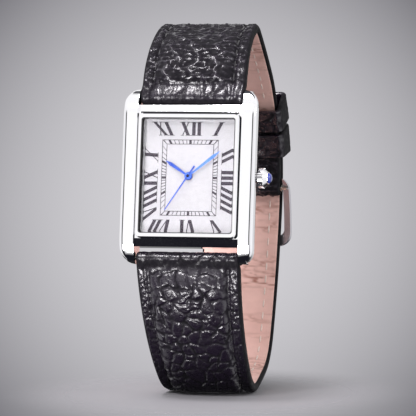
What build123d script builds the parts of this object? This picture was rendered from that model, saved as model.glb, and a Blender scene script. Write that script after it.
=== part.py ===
from build123d import *
import math
import os

# Rectangular wristwatch with two side rails, a quartz movement and a buckled leather strap.
# Millimetres. Origin: centre of the case back's outer face.
# +Y points out of the case back towards the wrist, +Z to twelve o'clock, +X to the crown.
# A height is a distance in front of the case back's outer face, so it counts along -Y.

os.makedirs("parts", exist_ok=True)

# Overrun of every cut past the face that it opens
overrun = 1.0

# Movement blank, a small rectangular quartz calibre that the case is built round
movement_width = 15.2
movement_length = 17.8
movement_corner_radius = 1.2
movement_slack = 0.05

# Walls from the movement outward, at the sides and at the ends
holder_side = 1.8
holder_end = 2.55
opening_side_step = 0.13
opening_end_step = 0.35
bezel_side = 0.68
bezel_end = 0.9
side_shelf = 0.35
shoulder_run = 1.55
rail_width = 2.9
lug_reach = 3.3

# Widths and lengths that follow from them
cavity_width = movement_width + 2 * holder_side
cavity_length = movement_length + 2 * holder_end
crystal_opening_width = cavity_width - 2 * opening_side_step
crystal_opening_length = cavity_length - 2 * opening_end_step
bezel_width = crystal_opening_width + 2 * bezel_side
bezel_length = crystal_opening_length + 2 * bezel_end
middle_length = bezel_length + 2 * shoulder_run
lug_gap = bezel_width + 2 * side_shelf
rail_span = lug_gap + 2 * rail_width
rail_length = middle_length + 2 * lug_reach

# Case rails
rail_back = 0.8
rail_front = 6.3
rail_corner_radius = 3.0
rail_edge_radius = 0.9
rail_back_bevel = 1.1
rail_tip_drop = 1.3
rail_tip_run = 5.5
rail_heel_rise = 0.9

# Middle of the case, between the rails
middle_front = 5.7
shoulder_drop = 2.3
cavity_corner_radius = 0.8

# Bezel frame
bezel_front = 6.9
bezel_seat = 5.1
bezel_corner_radius = 1.0
bezel_edge = 0.25
bezel_fit = 0.02

# Crystal and its gasket
crystal_opening_radius = 0.5
crystal_gasket_wall = 0.18
crystal_gasket_lip = 0.25
crystal_front = 6.86
crystal_thickness = 0.7
crystal_edge = 0.12
bezel_ledge = 0.3

# Case back, its gasket and screws
back_thickness = 0.9
back_plug_depth = 0.35
back_rim = 1.05
back_edge = 0.3
back_gasket_width = 0.45
back_screw_radius = 0.55
back_screw_inset = 1.25
back_screw_length = 2.2
back_screw_head_radius = 0.8
back_screw_head = 0.35
back_screw_slot = 0.2
screw_fit = 0.03

# Dial, mainplate, bridge and circuit board
dial_front = 5.1
dial_thickness = 0.4
dial_margin = 0.2
dial_hole_radius = 0.8
plate_back = 3.55
motion_recess = 0.45
bridge_front = 2.2
bridge_thickness = 0.4
board_back = 1.35
board_thickness = 0.3

# Crown and stem
crown_height = 2.95
crown_radius = 1.92
crown_gap = 0.15
crown_band = 0.95
crown_flutes = 26
crown_flute_depth = 0.12
crown_cone = 0.75
cabochon_radius = 1.15
cabochon_rise = 0.75
crown_bore_radius = 1.2
crown_tube_radius = 0.9
crown_tube_bore = 0.55
crown_tube_reach = 0.95
crown_tube_root = 0.3
crown_gasket_width = 0.3
stem_radius = 0.4
stem_groove_radius = 0.22
stem_groove_inset = 1.3
stem_groove_width = 0.4
pinion_radius = 1.05
pinion_waist_radius = 0.8
pinion_length = 1.4
pinion_inset = 3.2
stem_nose = 0.1
running_fit = 0.03
stem_groove_place = movement_width / 2 - stem_groove_inset
pinion_place = movement_width / 2 - pinion_inset
stem_inner_end = pinion_place - stem_nose

# Setting lever
lever_arm = 4.0
lever_thickness = 0.3
lever_width = 0.6
lever_nose_radius = 0.16
lever_stud_radius = 0.18

# Hands
hand_thickness = 0.12
hour_hand_height = 5.3
minute_hand_height = 5.55
seconds_hand_height = 5.8
hour_hand_length = 5.4
hour_hand_width = 0.68
minute_hand_length = 7.85
minute_hand_width = 0.56
seconds_hand_length = 7.9
seconds_hand_tail = 2.3
seconds_hand_width = 0.16
hand_root_share = 0.45
hour_hub_radius = 0.78
minute_hub_radius = 0.6
seconds_hub_radius = 0.38
hour_hand_angle = 303.0
minute_hand_angle = 52.0
seconds_hand_angle = 213.5

# Gear train: tooth counts, modules and wheel levels
train_module = 0.085
rotor_teeth = 6
idler_teeth = 24
idler_pinion_teeth = 8
seconds_teeth = 60
seconds_pinion_teeth = 8
third_teeth = 60
third_pinion_teeth = 8
centre_teeth = 64
cannon_teeth = 10
minute_teeth = 30
minute_pinion_teeth = 8
hour_teeth = 32
setting_teeth = 20
wheel_thickness = 0.14
idler_level = 2.28
seconds_level = 2.5
third_level = 2.76
centre_level = 3.04
motion_level = 4.1
hour_level = 4.38
arbor_radius = 0.1
seconds_arbor_radius = 0.15
motion_stud_radius = 0.2
cannon_radius = 0.4
cannon_bore = 0.2
hour_pipe_radius = 0.66
hour_pipe_bore = 0.43
rotor_radius = 0.75
rotor_thickness = 0.5
third_angle = 200.0
rotor_angle = 300.0
pivot_fit = 0.02

# Battery, coil, stator, quartz resonator
battery_radius = 2.9
battery_thickness = 2.0
battery_margin = 0.3
battery_x = battery_radius + battery_margin - movement_width / 2
battery_z = movement_length / 2 - battery_radius - battery_margin
battery_step = 0.35
clip_thickness = 0.15
clip_width = 1.6
coil_radius = 0.85
coil_core_radius = 0.4
coil_length = 8.6
coil_inset = 1.6
coil_z = coil_inset - movement_length / 2
stator_thickness = 0.3
stator_height = 2.9
stator_arm = 1.5
rotor_gap = 0.2
resonator_radius = 0.75
resonator_length = 4.6
resonator_inset = 2.0
resonator_end_inset = 1.6
resonator_x = movement_width / 2 - resonator_inset
resonator_z = (movement_length - resonator_length) / 2 - resonator_end_inset
resonator_height = 2.6

# Spring bars
bar_height = 3.3
bar_inset = 1.25
bar_radius = 0.75
bar_bore = 0.5
bar_lip = 0.4
bar_end_space = 1.1
pin_radius = 0.38
pin_fit = 0.04
pin_flange_radius = 0.62
pin_flange = 0.2
pin_head = 0.4
pin_tip = 0.95
pin_travel = 0.8
bar_spring_radius = 0.45
bar_spring_bore = 0.3
lug_hole_depth = 1.15

# Leather strap, whose line is the glue face between lining and outer leather
strap_side_play = 0.3
strap_lug_width = lug_gap - 2 * strap_side_play
strap_buckle_width = 16.0
lining_thickness = 0.75
leather_thickness = 0.8
filler_thickness = 0.2
upper_end_radius = 1.8
lower_end_radius = 1.2
strap_bore_radius = 0.82
pad_rise = 1.9
pad_start = 3.4
pad_margin = 2.0
pad_round = 1.6
filler_round = 0.8
upper_heading = 88.4
upper_lug_bend = 15.8
upper_top_bend = 5.9
upper_long_bend = 161.0
upper_back_bend = 26.3
upper_turns = (63.8, 47.9, 5.0, 58.1)
wrap_radius = 1.5
wrap_turn_back = 13.5
slot_width = 2.0
slot_length = 2.3

# Lower strap: it lies on the upper strap past the buckle bar, then runs down and round
lower_stack = 2.3
tip_turn = 43.5
tip_radius = 6.5
leave_turn = 7.6
lower_back_bend = 106.8
lower_heel_bend = 12.8
lower_long_bend = 131.1
lower_base_bend = 9.3
lower_turns = (14.2, 45.7, 3.2, 57.1)
hole_radius = 0.9
hole_pitch = 6.5
holes_above = 2
holes_below = 4
tang_hole_place = 2.1

# Keepers
keeper_width = 5.2
keeper_wall = 0.95
keeper_slack = 0.3
keeper_round = 1.2
keeper_inner_round = 0.4
fixed_keeper_place = 6.6
keeper_gap = 0.9

# Buckle
buckle_half_width = 9.6
buckle_arm = 1.2
buckle_top = 2.3
buckle_reach = 11.6
buckle_bar_width = 2.0
buckle_thickness = 1.5
buckle_rise = 2.5
buckle_corner_radius = 2.6
tang_thickness = 0.8
tang_width = 1.3
tang_ring_radius = 1.3
tang_ring_bore = 0.8
tang_overhang = 0.7
tang_rest_gap = 0.12
ear_drop_share = 0.5
bow_share = 0.8


def level(height):
    """Plane parallel to the dial at a height in front of the case back, drawn as seen from the front."""
    return Plane.XZ.offset(height)


def spot(x, z, height):
    """The same plane, centred on a place of the dial."""
    return Plane(origin=(x, -height, z), x_dir=(1, 0, 0), z_dir=(0, -1, 0))


def save(part, name):
    """Label a finished piece and write it."""
    part.label = name
    export_step(part, f"parts/{name}.step")


def gear_points(teeth, module):
    """Corners of a straight-sided gear outline: root, tip, tip and root for each tooth."""
    pitch_radius = module * teeth / 2
    tip_radius = pitch_radius + 0.9 * module
    root_radius = pitch_radius - 1.1 * module
    points = []
    corners = ((-0.26, root_radius), (-0.11, tip_radius), (0.11, tip_radius), (0.26, root_radius))
    for tooth in range(teeth):
        for share, radius in corners:
            angle = 2 * math.pi * (tooth + share) / teeth
            points.append((radius * math.cos(angle), radius * math.sin(angle)))
    return points


def cylinder(place, radius, length, bore=0):
    """Round boss or tube standing on a place, in the part being built."""
    with BuildSketch(place) as profile:
        Circle(radius)
        if bore:
            Circle(bore, mode=Mode.SUBTRACT)
    extrude(profile.sketch, amount=length)


def gear(place, teeth, module, thickness, bore=0):
    """Toothed wheel standing on a place, in the part being built."""
    with BuildSketch(place) as profile:
        with BuildLine():
            Polyline(gear_points(teeth, module), close=True)
        make_face()
        if bore:
            Circle(bore, mode=Mode.SUBTRACT)
    extrude(profile.sketch, amount=thickness)


# Case body: two rails, the middle between them and the cavity for the movement
half_length = rail_length / 2
half_span = rail_span / 2
half_gap = lug_gap / 2
bar_z = half_length - bar_inset
with BuildPart() as rail_side_form:
    with BuildSketch(Plane.YZ):
        with BuildLine():
            tip_z = half_length
            knee_z = half_length - rail_tip_run
            nose_height = rail_front - rail_tip_drop
            middle_height = (rail_front + rail_back) / 2
            Line((-rail_front, 0), (-rail_front, knee_z))
            TangentArc((-rail_front, knee_z), (-nose_height, tip_z - rail_heel_rise), tangent=(0, 1))
            nose = ThreePointArc(
                (-nose_height, tip_z - rail_heel_rise),
                (-middle_height, tip_z),
                (-rail_back - rail_heel_rise, tip_z - rail_heel_rise),
            )
            heel = Line(nose @ 1, (-rail_back, knee_z))
            Line(heel @ 1, (-rail_back, 0))
            Line((-rail_back, 0), (-rail_front, 0))
        make_face()
        mirror(about=Plane.XZ)
    extrude(amount=half_span, both=True)

with BuildPart() as case_body:
    with BuildSketch(level(rail_back)):
        RectangleRounded(rail_span, rail_length, rail_corner_radius)
    extrude(amount=rail_front - rail_back)
    add(rail_side_form.part, mode=Mode.INTERSECT)
    outer_front = case_body.edges().filter_by_position(
        Axis.Y, -rail_front - rail_edge_radius, -nose_height + rail_edge_radius
    )
    rim_edges = [
        edge
        for edge in outer_front
        if abs(edge.center().X) > half_gap and abs(edge.center().Y) > middle_height
    ]
    fillet(rim_edges, rail_edge_radius)
    # The rails are bevelled along their outer edges at the back, where they meet the wrist
    with BuildSketch(Plane.XY.offset(-rail_length)):
        with BuildLine():
            Polyline(
                (half_span - rail_back_bevel, -rail_back),
                (half_span, -rail_back - rail_back_bevel),
                (half_span + overrun, -rail_back - rail_back_bevel),
                (half_span + overrun, overrun),
                (half_span - rail_back_bevel, overrun),
                close=True,
            )
        make_face()
        mirror(about=Plane.YZ)
    extrude(amount=2 * rail_length, mode=Mode.SUBTRACT)
    # The gap between the rails, past both ends of the middle
    end_length = half_length - middle_length / 2 + overrun
    with BuildSketch(level(0)):
        with Locations(
            (0, middle_length / 2 + end_length / 2), (0, -middle_length / 2 - end_length / 2)
        ):
            Rectangle(lug_gap, end_length)
    extrude(amount=rail_front + overrun, mode=Mode.SUBTRACT)
    # The middle lies lower than the rails and slopes back at both ends
    slope_z = bezel_length / 2 + bezel_fit
    with BuildSketch(Plane.YZ):
        with BuildLine():
            Polyline(
                (-rail_front - overrun, 0),
                (-middle_front, 0),
                (-middle_front, slope_z),
                (-middle_front + shoulder_drop, middle_length / 2),
                (-middle_front + shoulder_drop, middle_length / 2 + overrun),
                (-rail_front - overrun, middle_length / 2 + overrun),
                close=True,
            )
        make_face()
        mirror(about=Plane.XZ)
    extrude(amount=half_gap, both=True, mode=Mode.SUBTRACT)
    # Seat of the bezel, cavity and seat of the case back
    with BuildSketch(level(bezel_seat)):
        RectangleRounded(
            bezel_width + 2 * bezel_fit, bezel_length + 2 * bezel_fit, bezel_corner_radius + bezel_fit
        )
    extrude(amount=rail_front, mode=Mode.SUBTRACT)
    with BuildSketch(level(0)):
        RectangleRounded(cavity_width, cavity_length, cavity_corner_radius)
    extrude(amount=rail_front, mode=Mode.SUBTRACT)
    # Blind holes for the spring bars, the crown tube's hole and the screw holes
    for side in (1, -1):
        for end in (1, -1):
            hole_place = Plane(
                origin=(side * half_gap, -bar_height, end * bar_z), x_dir=(0, 1, 0), z_dir=(side, 0, 0)
            )
            with BuildSketch(hole_place):
                Circle(pin_radius + pin_fit)
            extrude(amount=lug_hole_depth, mode=Mode.SUBTRACT)
    with BuildSketch(Plane(origin=(0, -crown_height, 0), x_dir=(0, 1, 0), z_dir=(1, 0, 0))):
        Circle(crown_tube_radius)
    extrude(amount=rail_span, mode=Mode.SUBTRACT)
    screw_x = cavity_width / 2 + back_screw_inset
    screw_z = cavity_length / 2 - back_screw_inset
    screw_places = [(x * screw_x, z * screw_z) for x in (1, -1) for z in (1, -1)]
    with BuildSketch(level(0)):
        with Locations(*screw_places):
            Circle(back_screw_radius + screw_fit)
    extrude(amount=back_thickness + back_screw_length, mode=Mode.SUBTRACT)
    # The back plate's pocket, open to the back
    back_width = cavity_width + 2 * (back_screw_inset + back_rim)
    back_length = cavity_length + 2 * back_rim
    with BuildSketch(level(0)):
        RectangleRounded(back_width + 2 * bezel_fit, back_length + 2 * bezel_fit, bezel_corner_radius)
    extrude(amount=back_thickness, mode=Mode.SUBTRACT)
    # Gasket groove in the floor of that pocket
    with BuildSketch(level(back_thickness)):
        RectangleRounded(
            cavity_width + 2 * back_gasket_width, cavity_length + 2 * back_gasket_width, bezel_corner_radius
        )
    extrude(amount=back_gasket_width, mode=Mode.SUBTRACT)
save(case_body.part, "case_body")

# Bezel: polished frame with a ledge inside for the gasket and the crystal
gasket_back = crystal_front - crystal_thickness - crystal_gasket_lip
with BuildPart() as bezel:
    with BuildSketch(level(bezel_seat)):
        RectangleRounded(bezel_width, bezel_length, bezel_corner_radius)
    extrude(amount=bezel_front - bezel_seat)
    chamfer(bezel.faces().sort_by(Axis.Y)[0].outer_wire().edges(), bezel_edge)
    with BuildSketch(level(bezel_seat)):
        RectangleRounded(
            crystal_opening_width - 2 * bezel_ledge,
            crystal_opening_length - 2 * bezel_ledge,
            crystal_opening_radius,
        )
    extrude(amount=bezel_front, mode=Mode.SUBTRACT)
    with BuildSketch(level(gasket_back)):
        RectangleRounded(crystal_opening_width, crystal_opening_length, crystal_opening_radius)
    extrude(amount=bezel_front, mode=Mode.SUBTRACT)
save(bezel.part, "bezel")

# Crystal and the L-shaped gasket round its edge
crystal_width = crystal_opening_width - 2 * crystal_gasket_wall
crystal_length = crystal_opening_length - 2 * crystal_gasket_wall
with BuildPart() as crystal_gasket:
    with BuildSketch(level(gasket_back)):
        RectangleRounded(crystal_opening_width, crystal_opening_length, crystal_opening_radius)
        RectangleRounded(
            crystal_opening_width - 2 * bezel_ledge,
            crystal_opening_length - 2 * bezel_ledge,
            crystal_opening_radius,
            mode=Mode.SUBTRACT,
        )
    extrude(amount=crystal_front - crystal_edge - gasket_back)
    with BuildSketch(level(gasket_back + crystal_gasket_lip)):
        RectangleRounded(crystal_width, crystal_length, crystal_opening_radius)
    extrude(amount=crystal_thickness, mode=Mode.SUBTRACT)
save(crystal_gasket.part, "crystal_gasket")

with BuildPart() as crystal:
    with BuildSketch(level(crystal_front - crystal_thickness)):
        RectangleRounded(crystal_width, crystal_length, crystal_opening_radius)
    extrude(amount=crystal_thickness)
    chamfer(crystal.faces().sort_by(Axis.Y)[0].edges(), crystal_edge)
save(crystal.part, "crystal")

# Case back with its plug, gasket and four countersunk screws
with BuildPart() as case_back:
    with BuildSketch(level(0)):
        RectangleRounded(back_width, back_length, bezel_corner_radius)
    extrude(amount=back_thickness)
    chamfer(case_back.faces().sort_by(Axis.Y)[-1].edges(), back_edge)
    with BuildSketch(level(back_thickness)):
        RectangleRounded(
            cavity_width - 2 * movement_slack, cavity_length - 2 * movement_slack, cavity_corner_radius
        )
    extrude(amount=back_plug_depth)
    with BuildSketch(level(0)):
        with Locations(*screw_places):
            Circle(back_screw_radius + screw_fit)
    extrude(amount=back_thickness, mode=Mode.SUBTRACT)
    with BuildSketch(level(0)):
        with Locations(*screw_places):
            Circle(back_screw_head_radius + screw_fit)
    extrude(amount=back_screw_head, mode=Mode.SUBTRACT)
save(case_back.part, "case_back")

with BuildPart() as case_back_gasket:
    with BuildSketch(level(back_thickness)):
        RectangleRounded(
            cavity_width + 2 * back_gasket_width, cavity_length + 2 * back_gasket_width, bezel_corner_radius
        )
        RectangleRounded(cavity_width, cavity_length, cavity_corner_radius, mode=Mode.SUBTRACT)
    extrude(amount=back_gasket_width)
save(case_back_gasket.part, "case_back_gasket")

with BuildPart() as case_back_screws:
    with BuildSketch(level(0)):
        with Locations(*screw_places):
            Circle(back_screw_head_radius)
    extrude(amount=back_screw_head)
    with BuildSketch(level(back_screw_head)):
        with Locations(*screw_places):
            Circle(back_screw_radius)
    extrude(amount=back_screw_length)
    with BuildSketch(level(0)):
        with Locations(*screw_places):
            Rectangle(2 * back_screw_head_radius, back_screw_slot)
    extrude(amount=back_screw_slot, mode=Mode.SUBTRACT)
save(case_back_screws.part, "case_back_screws")

# Dial
dial_width = cavity_width - 2 * dial_margin
dial_length = cavity_length - 2 * dial_margin
dial_back = dial_front - dial_thickness
with BuildPart() as dial:
    with BuildSketch(level(dial_back)):
        RectangleRounded(dial_width, dial_length, cavity_corner_radius)
        Circle(dial_hole_radius, mode=Mode.SUBTRACT)
    extrude(amount=dial_thickness)
save(dial.part, "dial")

# Holder ring between the movement and the case wall, with a notch for the stem
holder_back = back_thickness + back_plug_depth
with BuildPart() as movement_holder:
    with BuildSketch(level(holder_back)):
        RectangleRounded(
            cavity_width - 2 * movement_slack, cavity_length - 2 * movement_slack, cavity_corner_radius
        )
        RectangleRounded(
            movement_width + 2 * movement_slack,
            movement_length + 2 * movement_slack,
            movement_corner_radius,
            mode=Mode.SUBTRACT,
        )
    extrude(amount=dial_back - holder_back)
    notch_half = crown_tube_radius + crown_gap
    with BuildSketch(level(holder_back)):
        with Locations((cavity_width / 2, 0)):
            Rectangle(cavity_width - movement_width, 2 * notch_half)
    extrude(amount=crown_height + notch_half - holder_back, mode=Mode.SUBTRACT)
save(movement_holder.part, "movement_holder")


def polar(radius, angle):
    """Place at a distance and an angle in degrees, seen from the front."""
    return (radius * math.cos(math.radians(angle)), radius * math.sin(math.radians(angle)))


# Places of the wheels, from the modules and tooth counts
third_distance = train_module * (seconds_pinion_teeth + third_teeth) / 2
centre_module = 2 * third_distance / (third_pinion_teeth + centre_teeth)
idler_distance = train_module * (idler_pinion_teeth + seconds_teeth) / 2 + train_module
idler_module = 2 * idler_distance / (idler_pinion_teeth + seconds_teeth)
rotor_distance = idler_distance + train_module * (rotor_teeth + idler_teeth) / 2
minute_distance = train_module * (cannon_teeth + minute_teeth) / 2
hour_module = 2 * minute_distance / (minute_pinion_teeth + hour_teeth)
setting_distance = minute_distance + train_module * (minute_teeth + setting_teeth) / 2
third_x, third_z = polar(third_distance, third_angle)
idler_x, idler_z = polar(idler_distance, rotor_angle)
rotor_x, rotor_z = polar(rotor_distance, rotor_angle)

# Mainplate, recessed on the dial side for the motion work, with the setting lever's stud
lever_level = crown_height - stem_radius - running_fit - lever_thickness
groove_middle = stem_groove_place + stem_groove_width / 2
motion_floor = dial_back - motion_recess - wheel_thickness
with BuildPart() as mainplate:
    with BuildSketch(level(plate_back)):
        RectangleRounded(movement_width, movement_length, movement_corner_radius)
        with Locations((battery_x, battery_z)):
            Circle(battery_radius + clip_thickness, mode=Mode.SUBTRACT)
        with Locations((0, coil_z)):
            Rectangle(coil_length + 2 * stator_arm, 2 * coil_radius + clip_thickness, mode=Mode.SUBTRACT)
        Circle(cannon_radius + pivot_fit, mode=Mode.SUBTRACT)
        with Locations((third_x, third_z), (idler_x, idler_z), (rotor_x, rotor_z)):
            Circle(arbor_radius + pivot_fit, mode=Mode.SUBTRACT)
    extrude(amount=dial_back - plate_back)
    recess_radius = hour_module * (hour_teeth + 4) / 2
    minute_recess = train_module * (minute_teeth + 4) / 2
    setting_recess = train_module * (setting_teeth + 4) / 2
    with BuildSketch(level(motion_floor)):
        Circle(recess_radius)
        with Locations((minute_distance, 0)):
            Circle(minute_recess)
        with Locations((setting_distance, 0)):
            Circle(setting_recess)
        with Locations((minute_distance, 0), (setting_distance, 0)):
            Circle(motion_stud_radius, mode=Mode.SUBTRACT)
    extrude(amount=dial_back, mode=Mode.SUBTRACT)
    # Slot for the sliding pinion and the stem
    slot_start = stem_inner_end - running_fit
    slot_end = movement_width / 2
    with BuildSketch(level(plate_back)):
        with Locations(((slot_start + slot_end) / 2, 0)):
            Rectangle(slot_end - slot_start, 2 * pinion_radius)
    extrude(amount=dial_back, mode=Mode.SUBTRACT)
    cylinder(spot(groove_middle, -lever_arm, lever_level), lever_stud_radius, plate_back - lever_level)
save(mainplate.part, "mainplate")

# Bridge that carries the back pivots of the train
bridge_back = bridge_front - bridge_thickness
with BuildPart() as train_bridge:
    with BuildSketch(level(bridge_back)):
        for foot_x, foot_z in ((third_x, third_z), (idler_x, idler_z), (rotor_x, rotor_z), (0, 0)):
            with Locations((foot_x, foot_z)):
                Circle(rotor_radius)
        with BuildLine():
            Polyline((0, 0), (third_x, third_z), (rotor_x, rotor_z), close=True)
        make_face()
        Circle(seconds_arbor_radius + pivot_fit, mode=Mode.SUBTRACT)
        with Locations((third_x, third_z), (idler_x, idler_z), (rotor_x, rotor_z)):
            Circle(arbor_radius + pivot_fit, mode=Mode.SUBTRACT)
    extrude(amount=bridge_thickness)
save(train_bridge.part, "train_bridge")

# Circuit board, cut out round the battery
with BuildPart() as circuit_board:
    with BuildSketch(level(board_back)):
        RectangleRounded(movement_width, movement_length, movement_corner_radius)
        with Locations((battery_x, battery_z)):
            Circle(battery_radius + clip_thickness, mode=Mode.SUBTRACT)
    extrude(amount=board_thickness)
save(circuit_board.part, "circuit_board")

# Button cell with its stepped negative side, and the clip across it
with BuildPart() as battery:
    cylinder(spot(battery_x, battery_z, holder_back + clip_thickness), battery_radius, battery_thickness)
    chamfer(battery.edges().sort_by(Axis.Y)[-1], clip_thickness)
    cylinder(
        spot(battery_x, battery_z, holder_back + clip_thickness + battery_thickness),
        battery_radius - battery_step,
        battery_step,
    )
save(battery.part, "battery")

with BuildPart() as battery_clip:
    with BuildSketch(level(holder_back)):
        with Locations((battery_x, battery_z)):
            Rectangle(clip_width, 2 * battery_radius)
            Circle(clip_width)
    extrude(amount=clip_thickness)
save(battery_clip.part, "battery_clip")

# Coil on its core, the stator plate and the quartz resonator
coil_height = stator_height - coil_core_radius
with BuildPart() as coil:
    coil_place = Plane(origin=(-coil_length / 2, -coil_height, coil_z), x_dir=(0, 1, 0), z_dir=(1, 0, 0))
    with BuildSketch(coil_place):
        Circle(coil_radius)
        Circle(coil_core_radius, mode=Mode.SUBTRACT)
    extrude(amount=coil_length)
save(coil.part, "coil")

with BuildPart() as stator:
    core_place = coil_place.offset(-stator_arm)
    with BuildSketch(core_place):
        Circle(coil_core_radius)
    extrude(amount=coil_length + 2 * stator_arm)
    arm_x = coil_length / 2 + stator_arm / 2
    with BuildSketch(level(stator_height - stator_thickness)):
        with BuildLine():
            Polyline(
                (-arm_x - stator_arm / 2, coil_z - stator_arm / 2),
                (-arm_x + stator_arm / 2, coil_z - stator_arm / 2),
                (-arm_x + stator_arm / 2, coil_z + stator_arm),
                (arm_x - stator_arm / 2, coil_z + stator_arm),
                (arm_x - stator_arm / 2, coil_z - stator_arm / 2),
                (arm_x + stator_arm / 2, coil_z - stator_arm / 2),
                (arm_x + stator_arm / 2, rotor_z),
                (rotor_x + stator_arm / 2, rotor_z + rotor_radius),
                (rotor_x - stator_arm, rotor_z - rotor_gap),
                (-arm_x - stator_arm / 2, rotor_z - rotor_gap),
                close=True,
            )
        make_face()
        with Locations((rotor_x, rotor_z)):
            Circle(rotor_radius + rotor_gap, mode=Mode.SUBTRACT)
    extrude(amount=stator_thickness)
save(stator.part, "stator")

with BuildPart() as quartz_resonator:
    resonator_place = Plane(
        origin=(resonator_x, -resonator_height, resonator_z - resonator_length / 2),
        x_dir=(1, 0, 0),
        z_dir=(0, 0, 1),
    )
    with BuildSketch(resonator_place):
        Circle(resonator_radius)
    extrude(amount=resonator_length)
    fillet(quartz_resonator.edges().sort_by(Axis.Z)[-1], resonator_radius / 3)
save(quartz_resonator.part, "quartz_resonator")

# Rotor and the wheels of the train, each on its arbor between bridge and mainplate
arbor_length = plate_back + wheel_thickness - bridge_back
with BuildPart() as rotor:
    gear(spot(rotor_x, rotor_z, idler_level), rotor_teeth, train_module, wheel_thickness)
    cylinder(spot(rotor_x, rotor_z, seconds_level), rotor_radius, rotor_thickness)
    cylinder(spot(rotor_x, rotor_z, bridge_back), arbor_radius, arbor_length)
save(rotor.part, "rotor")

with BuildPart() as intermediate_wheel:
    gear(spot(idler_x, idler_z, idler_level), idler_teeth, train_module, wheel_thickness)
    gear(spot(idler_x, idler_z, seconds_level), idler_pinion_teeth, idler_module, wheel_thickness)
    cylinder(spot(idler_x, idler_z, bridge_back), arbor_radius, arbor_length)
save(intermediate_wheel.part, "intermediate_wheel")

with BuildPart() as seconds_wheel:
    gear(spot(0, 0, seconds_level), seconds_teeth, idler_module, wheel_thickness)
    gear(spot(0, 0, third_level), seconds_pinion_teeth, train_module, wheel_thickness)
    cylinder(spot(0, 0, bridge_back), seconds_arbor_radius, seconds_hand_height - bridge_back)
save(seconds_wheel.part, "seconds_wheel")

with BuildPart() as third_wheel:
    gear(spot(third_x, third_z, third_level), third_teeth, train_module, wheel_thickness)
    gear(spot(third_x, third_z, centre_level), third_pinion_teeth, centre_module, wheel_thickness)
    cylinder(spot(third_x, third_z, bridge_back), arbor_radius, arbor_length)
save(third_wheel.part, "third_wheel")

with BuildPart() as centre_wheel:
    gear(spot(0, 0, centre_level), centre_teeth, centre_module, wheel_thickness, cannon_bore)
    cylinder(spot(0, 0, centre_level), cannon_radius, minute_hand_height - centre_level, cannon_bore)
    gear(spot(0, 0, motion_level + pivot_fit), cannon_teeth, train_module, wheel_thickness, cannon_bore)
save(centre_wheel.part, "centre_wheel")

motion_start = motion_level + pivot_fit
stud_bore = motion_stud_radius + pivot_fit
with BuildPart() as minute_wheel:
    minute_place = spot(minute_distance, 0, motion_start)
    gear(minute_place, minute_teeth, train_module, wheel_thickness, stud_bore)
    pinion_end = hour_level + wheel_thickness
    gear(minute_place, minute_pinion_teeth, hour_module, pinion_end - motion_start, stud_bore)
save(minute_wheel.part, "minute_wheel")

with BuildPart() as hour_wheel:
    gear(spot(0, 0, hour_level), hour_teeth, hour_module, wheel_thickness, hour_pipe_bore)
    cylinder(
        spot(0, 0, hour_level), hour_pipe_radius, hour_hand_height - hour_level, hour_pipe_bore
    )
save(hour_wheel.part, "hour_wheel")

with BuildPart() as setting_wheel:
    setting_place = spot(setting_distance, 0, motion_start)
    gear(setting_place, setting_teeth, train_module, wheel_thickness, stud_bore)
save(setting_wheel.part, "setting_wheel")


def turned(angle, height):
    """Dial plane turned so that its upward direction points along a hand, clockwise from twelve."""
    sine = math.sin(math.radians(angle))
    cosine = math.cos(math.radians(angle))
    return Plane(origin=(0, -height, 0), x_dir=(cosine, 0, -sine), z_dir=(0, -1, 0))


def sword_hand(angle, height, length, width, hub_radius, bore):
    """Sword-shaped hand: it widens from the hub, then narrows to a point."""
    with BuildPart() as hand:
        with BuildSketch(turned(angle, height)):
            with BuildLine():
                belly = 0.78 * length
                Polyline(
                    (-hand_root_share * width / 2, 0),
                    (-width / 2, belly),
                    (0, length),
                    (width / 2, belly),
                    (hand_root_share * width / 2, 0),
                    close=True,
                )
            make_face()
            Circle(hub_radius)
            if bore:
                Circle(bore, mode=Mode.SUBTRACT)
        extrude(amount=hand_thickness)
    return hand.part


hour_hand = sword_hand(
    hour_hand_angle, hour_hand_height, hour_hand_length, hour_hand_width, hour_hub_radius, hour_pipe_bore
)
save(hour_hand, "hour_hand")
minute_hand = sword_hand(
    minute_hand_angle,
    minute_hand_height,
    minute_hand_length,
    minute_hand_width,
    minute_hub_radius,
    cannon_bore,
)
save(minute_hand, "minute_hand")

with BuildPart() as seconds_hand:
    with BuildSketch(turned(seconds_hand_angle, seconds_hand_height)):
        with BuildLine():
            Polyline(
                (-seconds_hand_width, -seconds_hand_tail),
                (-seconds_hand_width / 2, seconds_hand_length),
                (seconds_hand_width / 2, seconds_hand_length),
                (seconds_hand_width, -seconds_hand_tail),
                close=True,
            )
        make_face()
        Circle(seconds_hub_radius)
    extrude(amount=hand_thickness)
save(seconds_hand.part, "seconds_hand")


def along_x(start):
    """Plane across the crown's axis at a distance from the dial's centre, facing the crown."""
    return Plane(origin=(start, -crown_height, 0), x_dir=(0, 1, 0), z_dir=(1, 0, 0))


# Crown tube, pressed through the case wall
crown_start = half_span + crown_gap
crown_end = crown_start + crown_band
with BuildPart() as crown_tube:
    cylinder(
        along_x(cavity_width / 2 - crown_tube_root),
        crown_tube_radius,
        half_span + crown_tube_reach - cavity_width / 2 + crown_tube_root,
        crown_tube_bore,
    )
save(crown_tube.part, "crown_tube")

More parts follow.
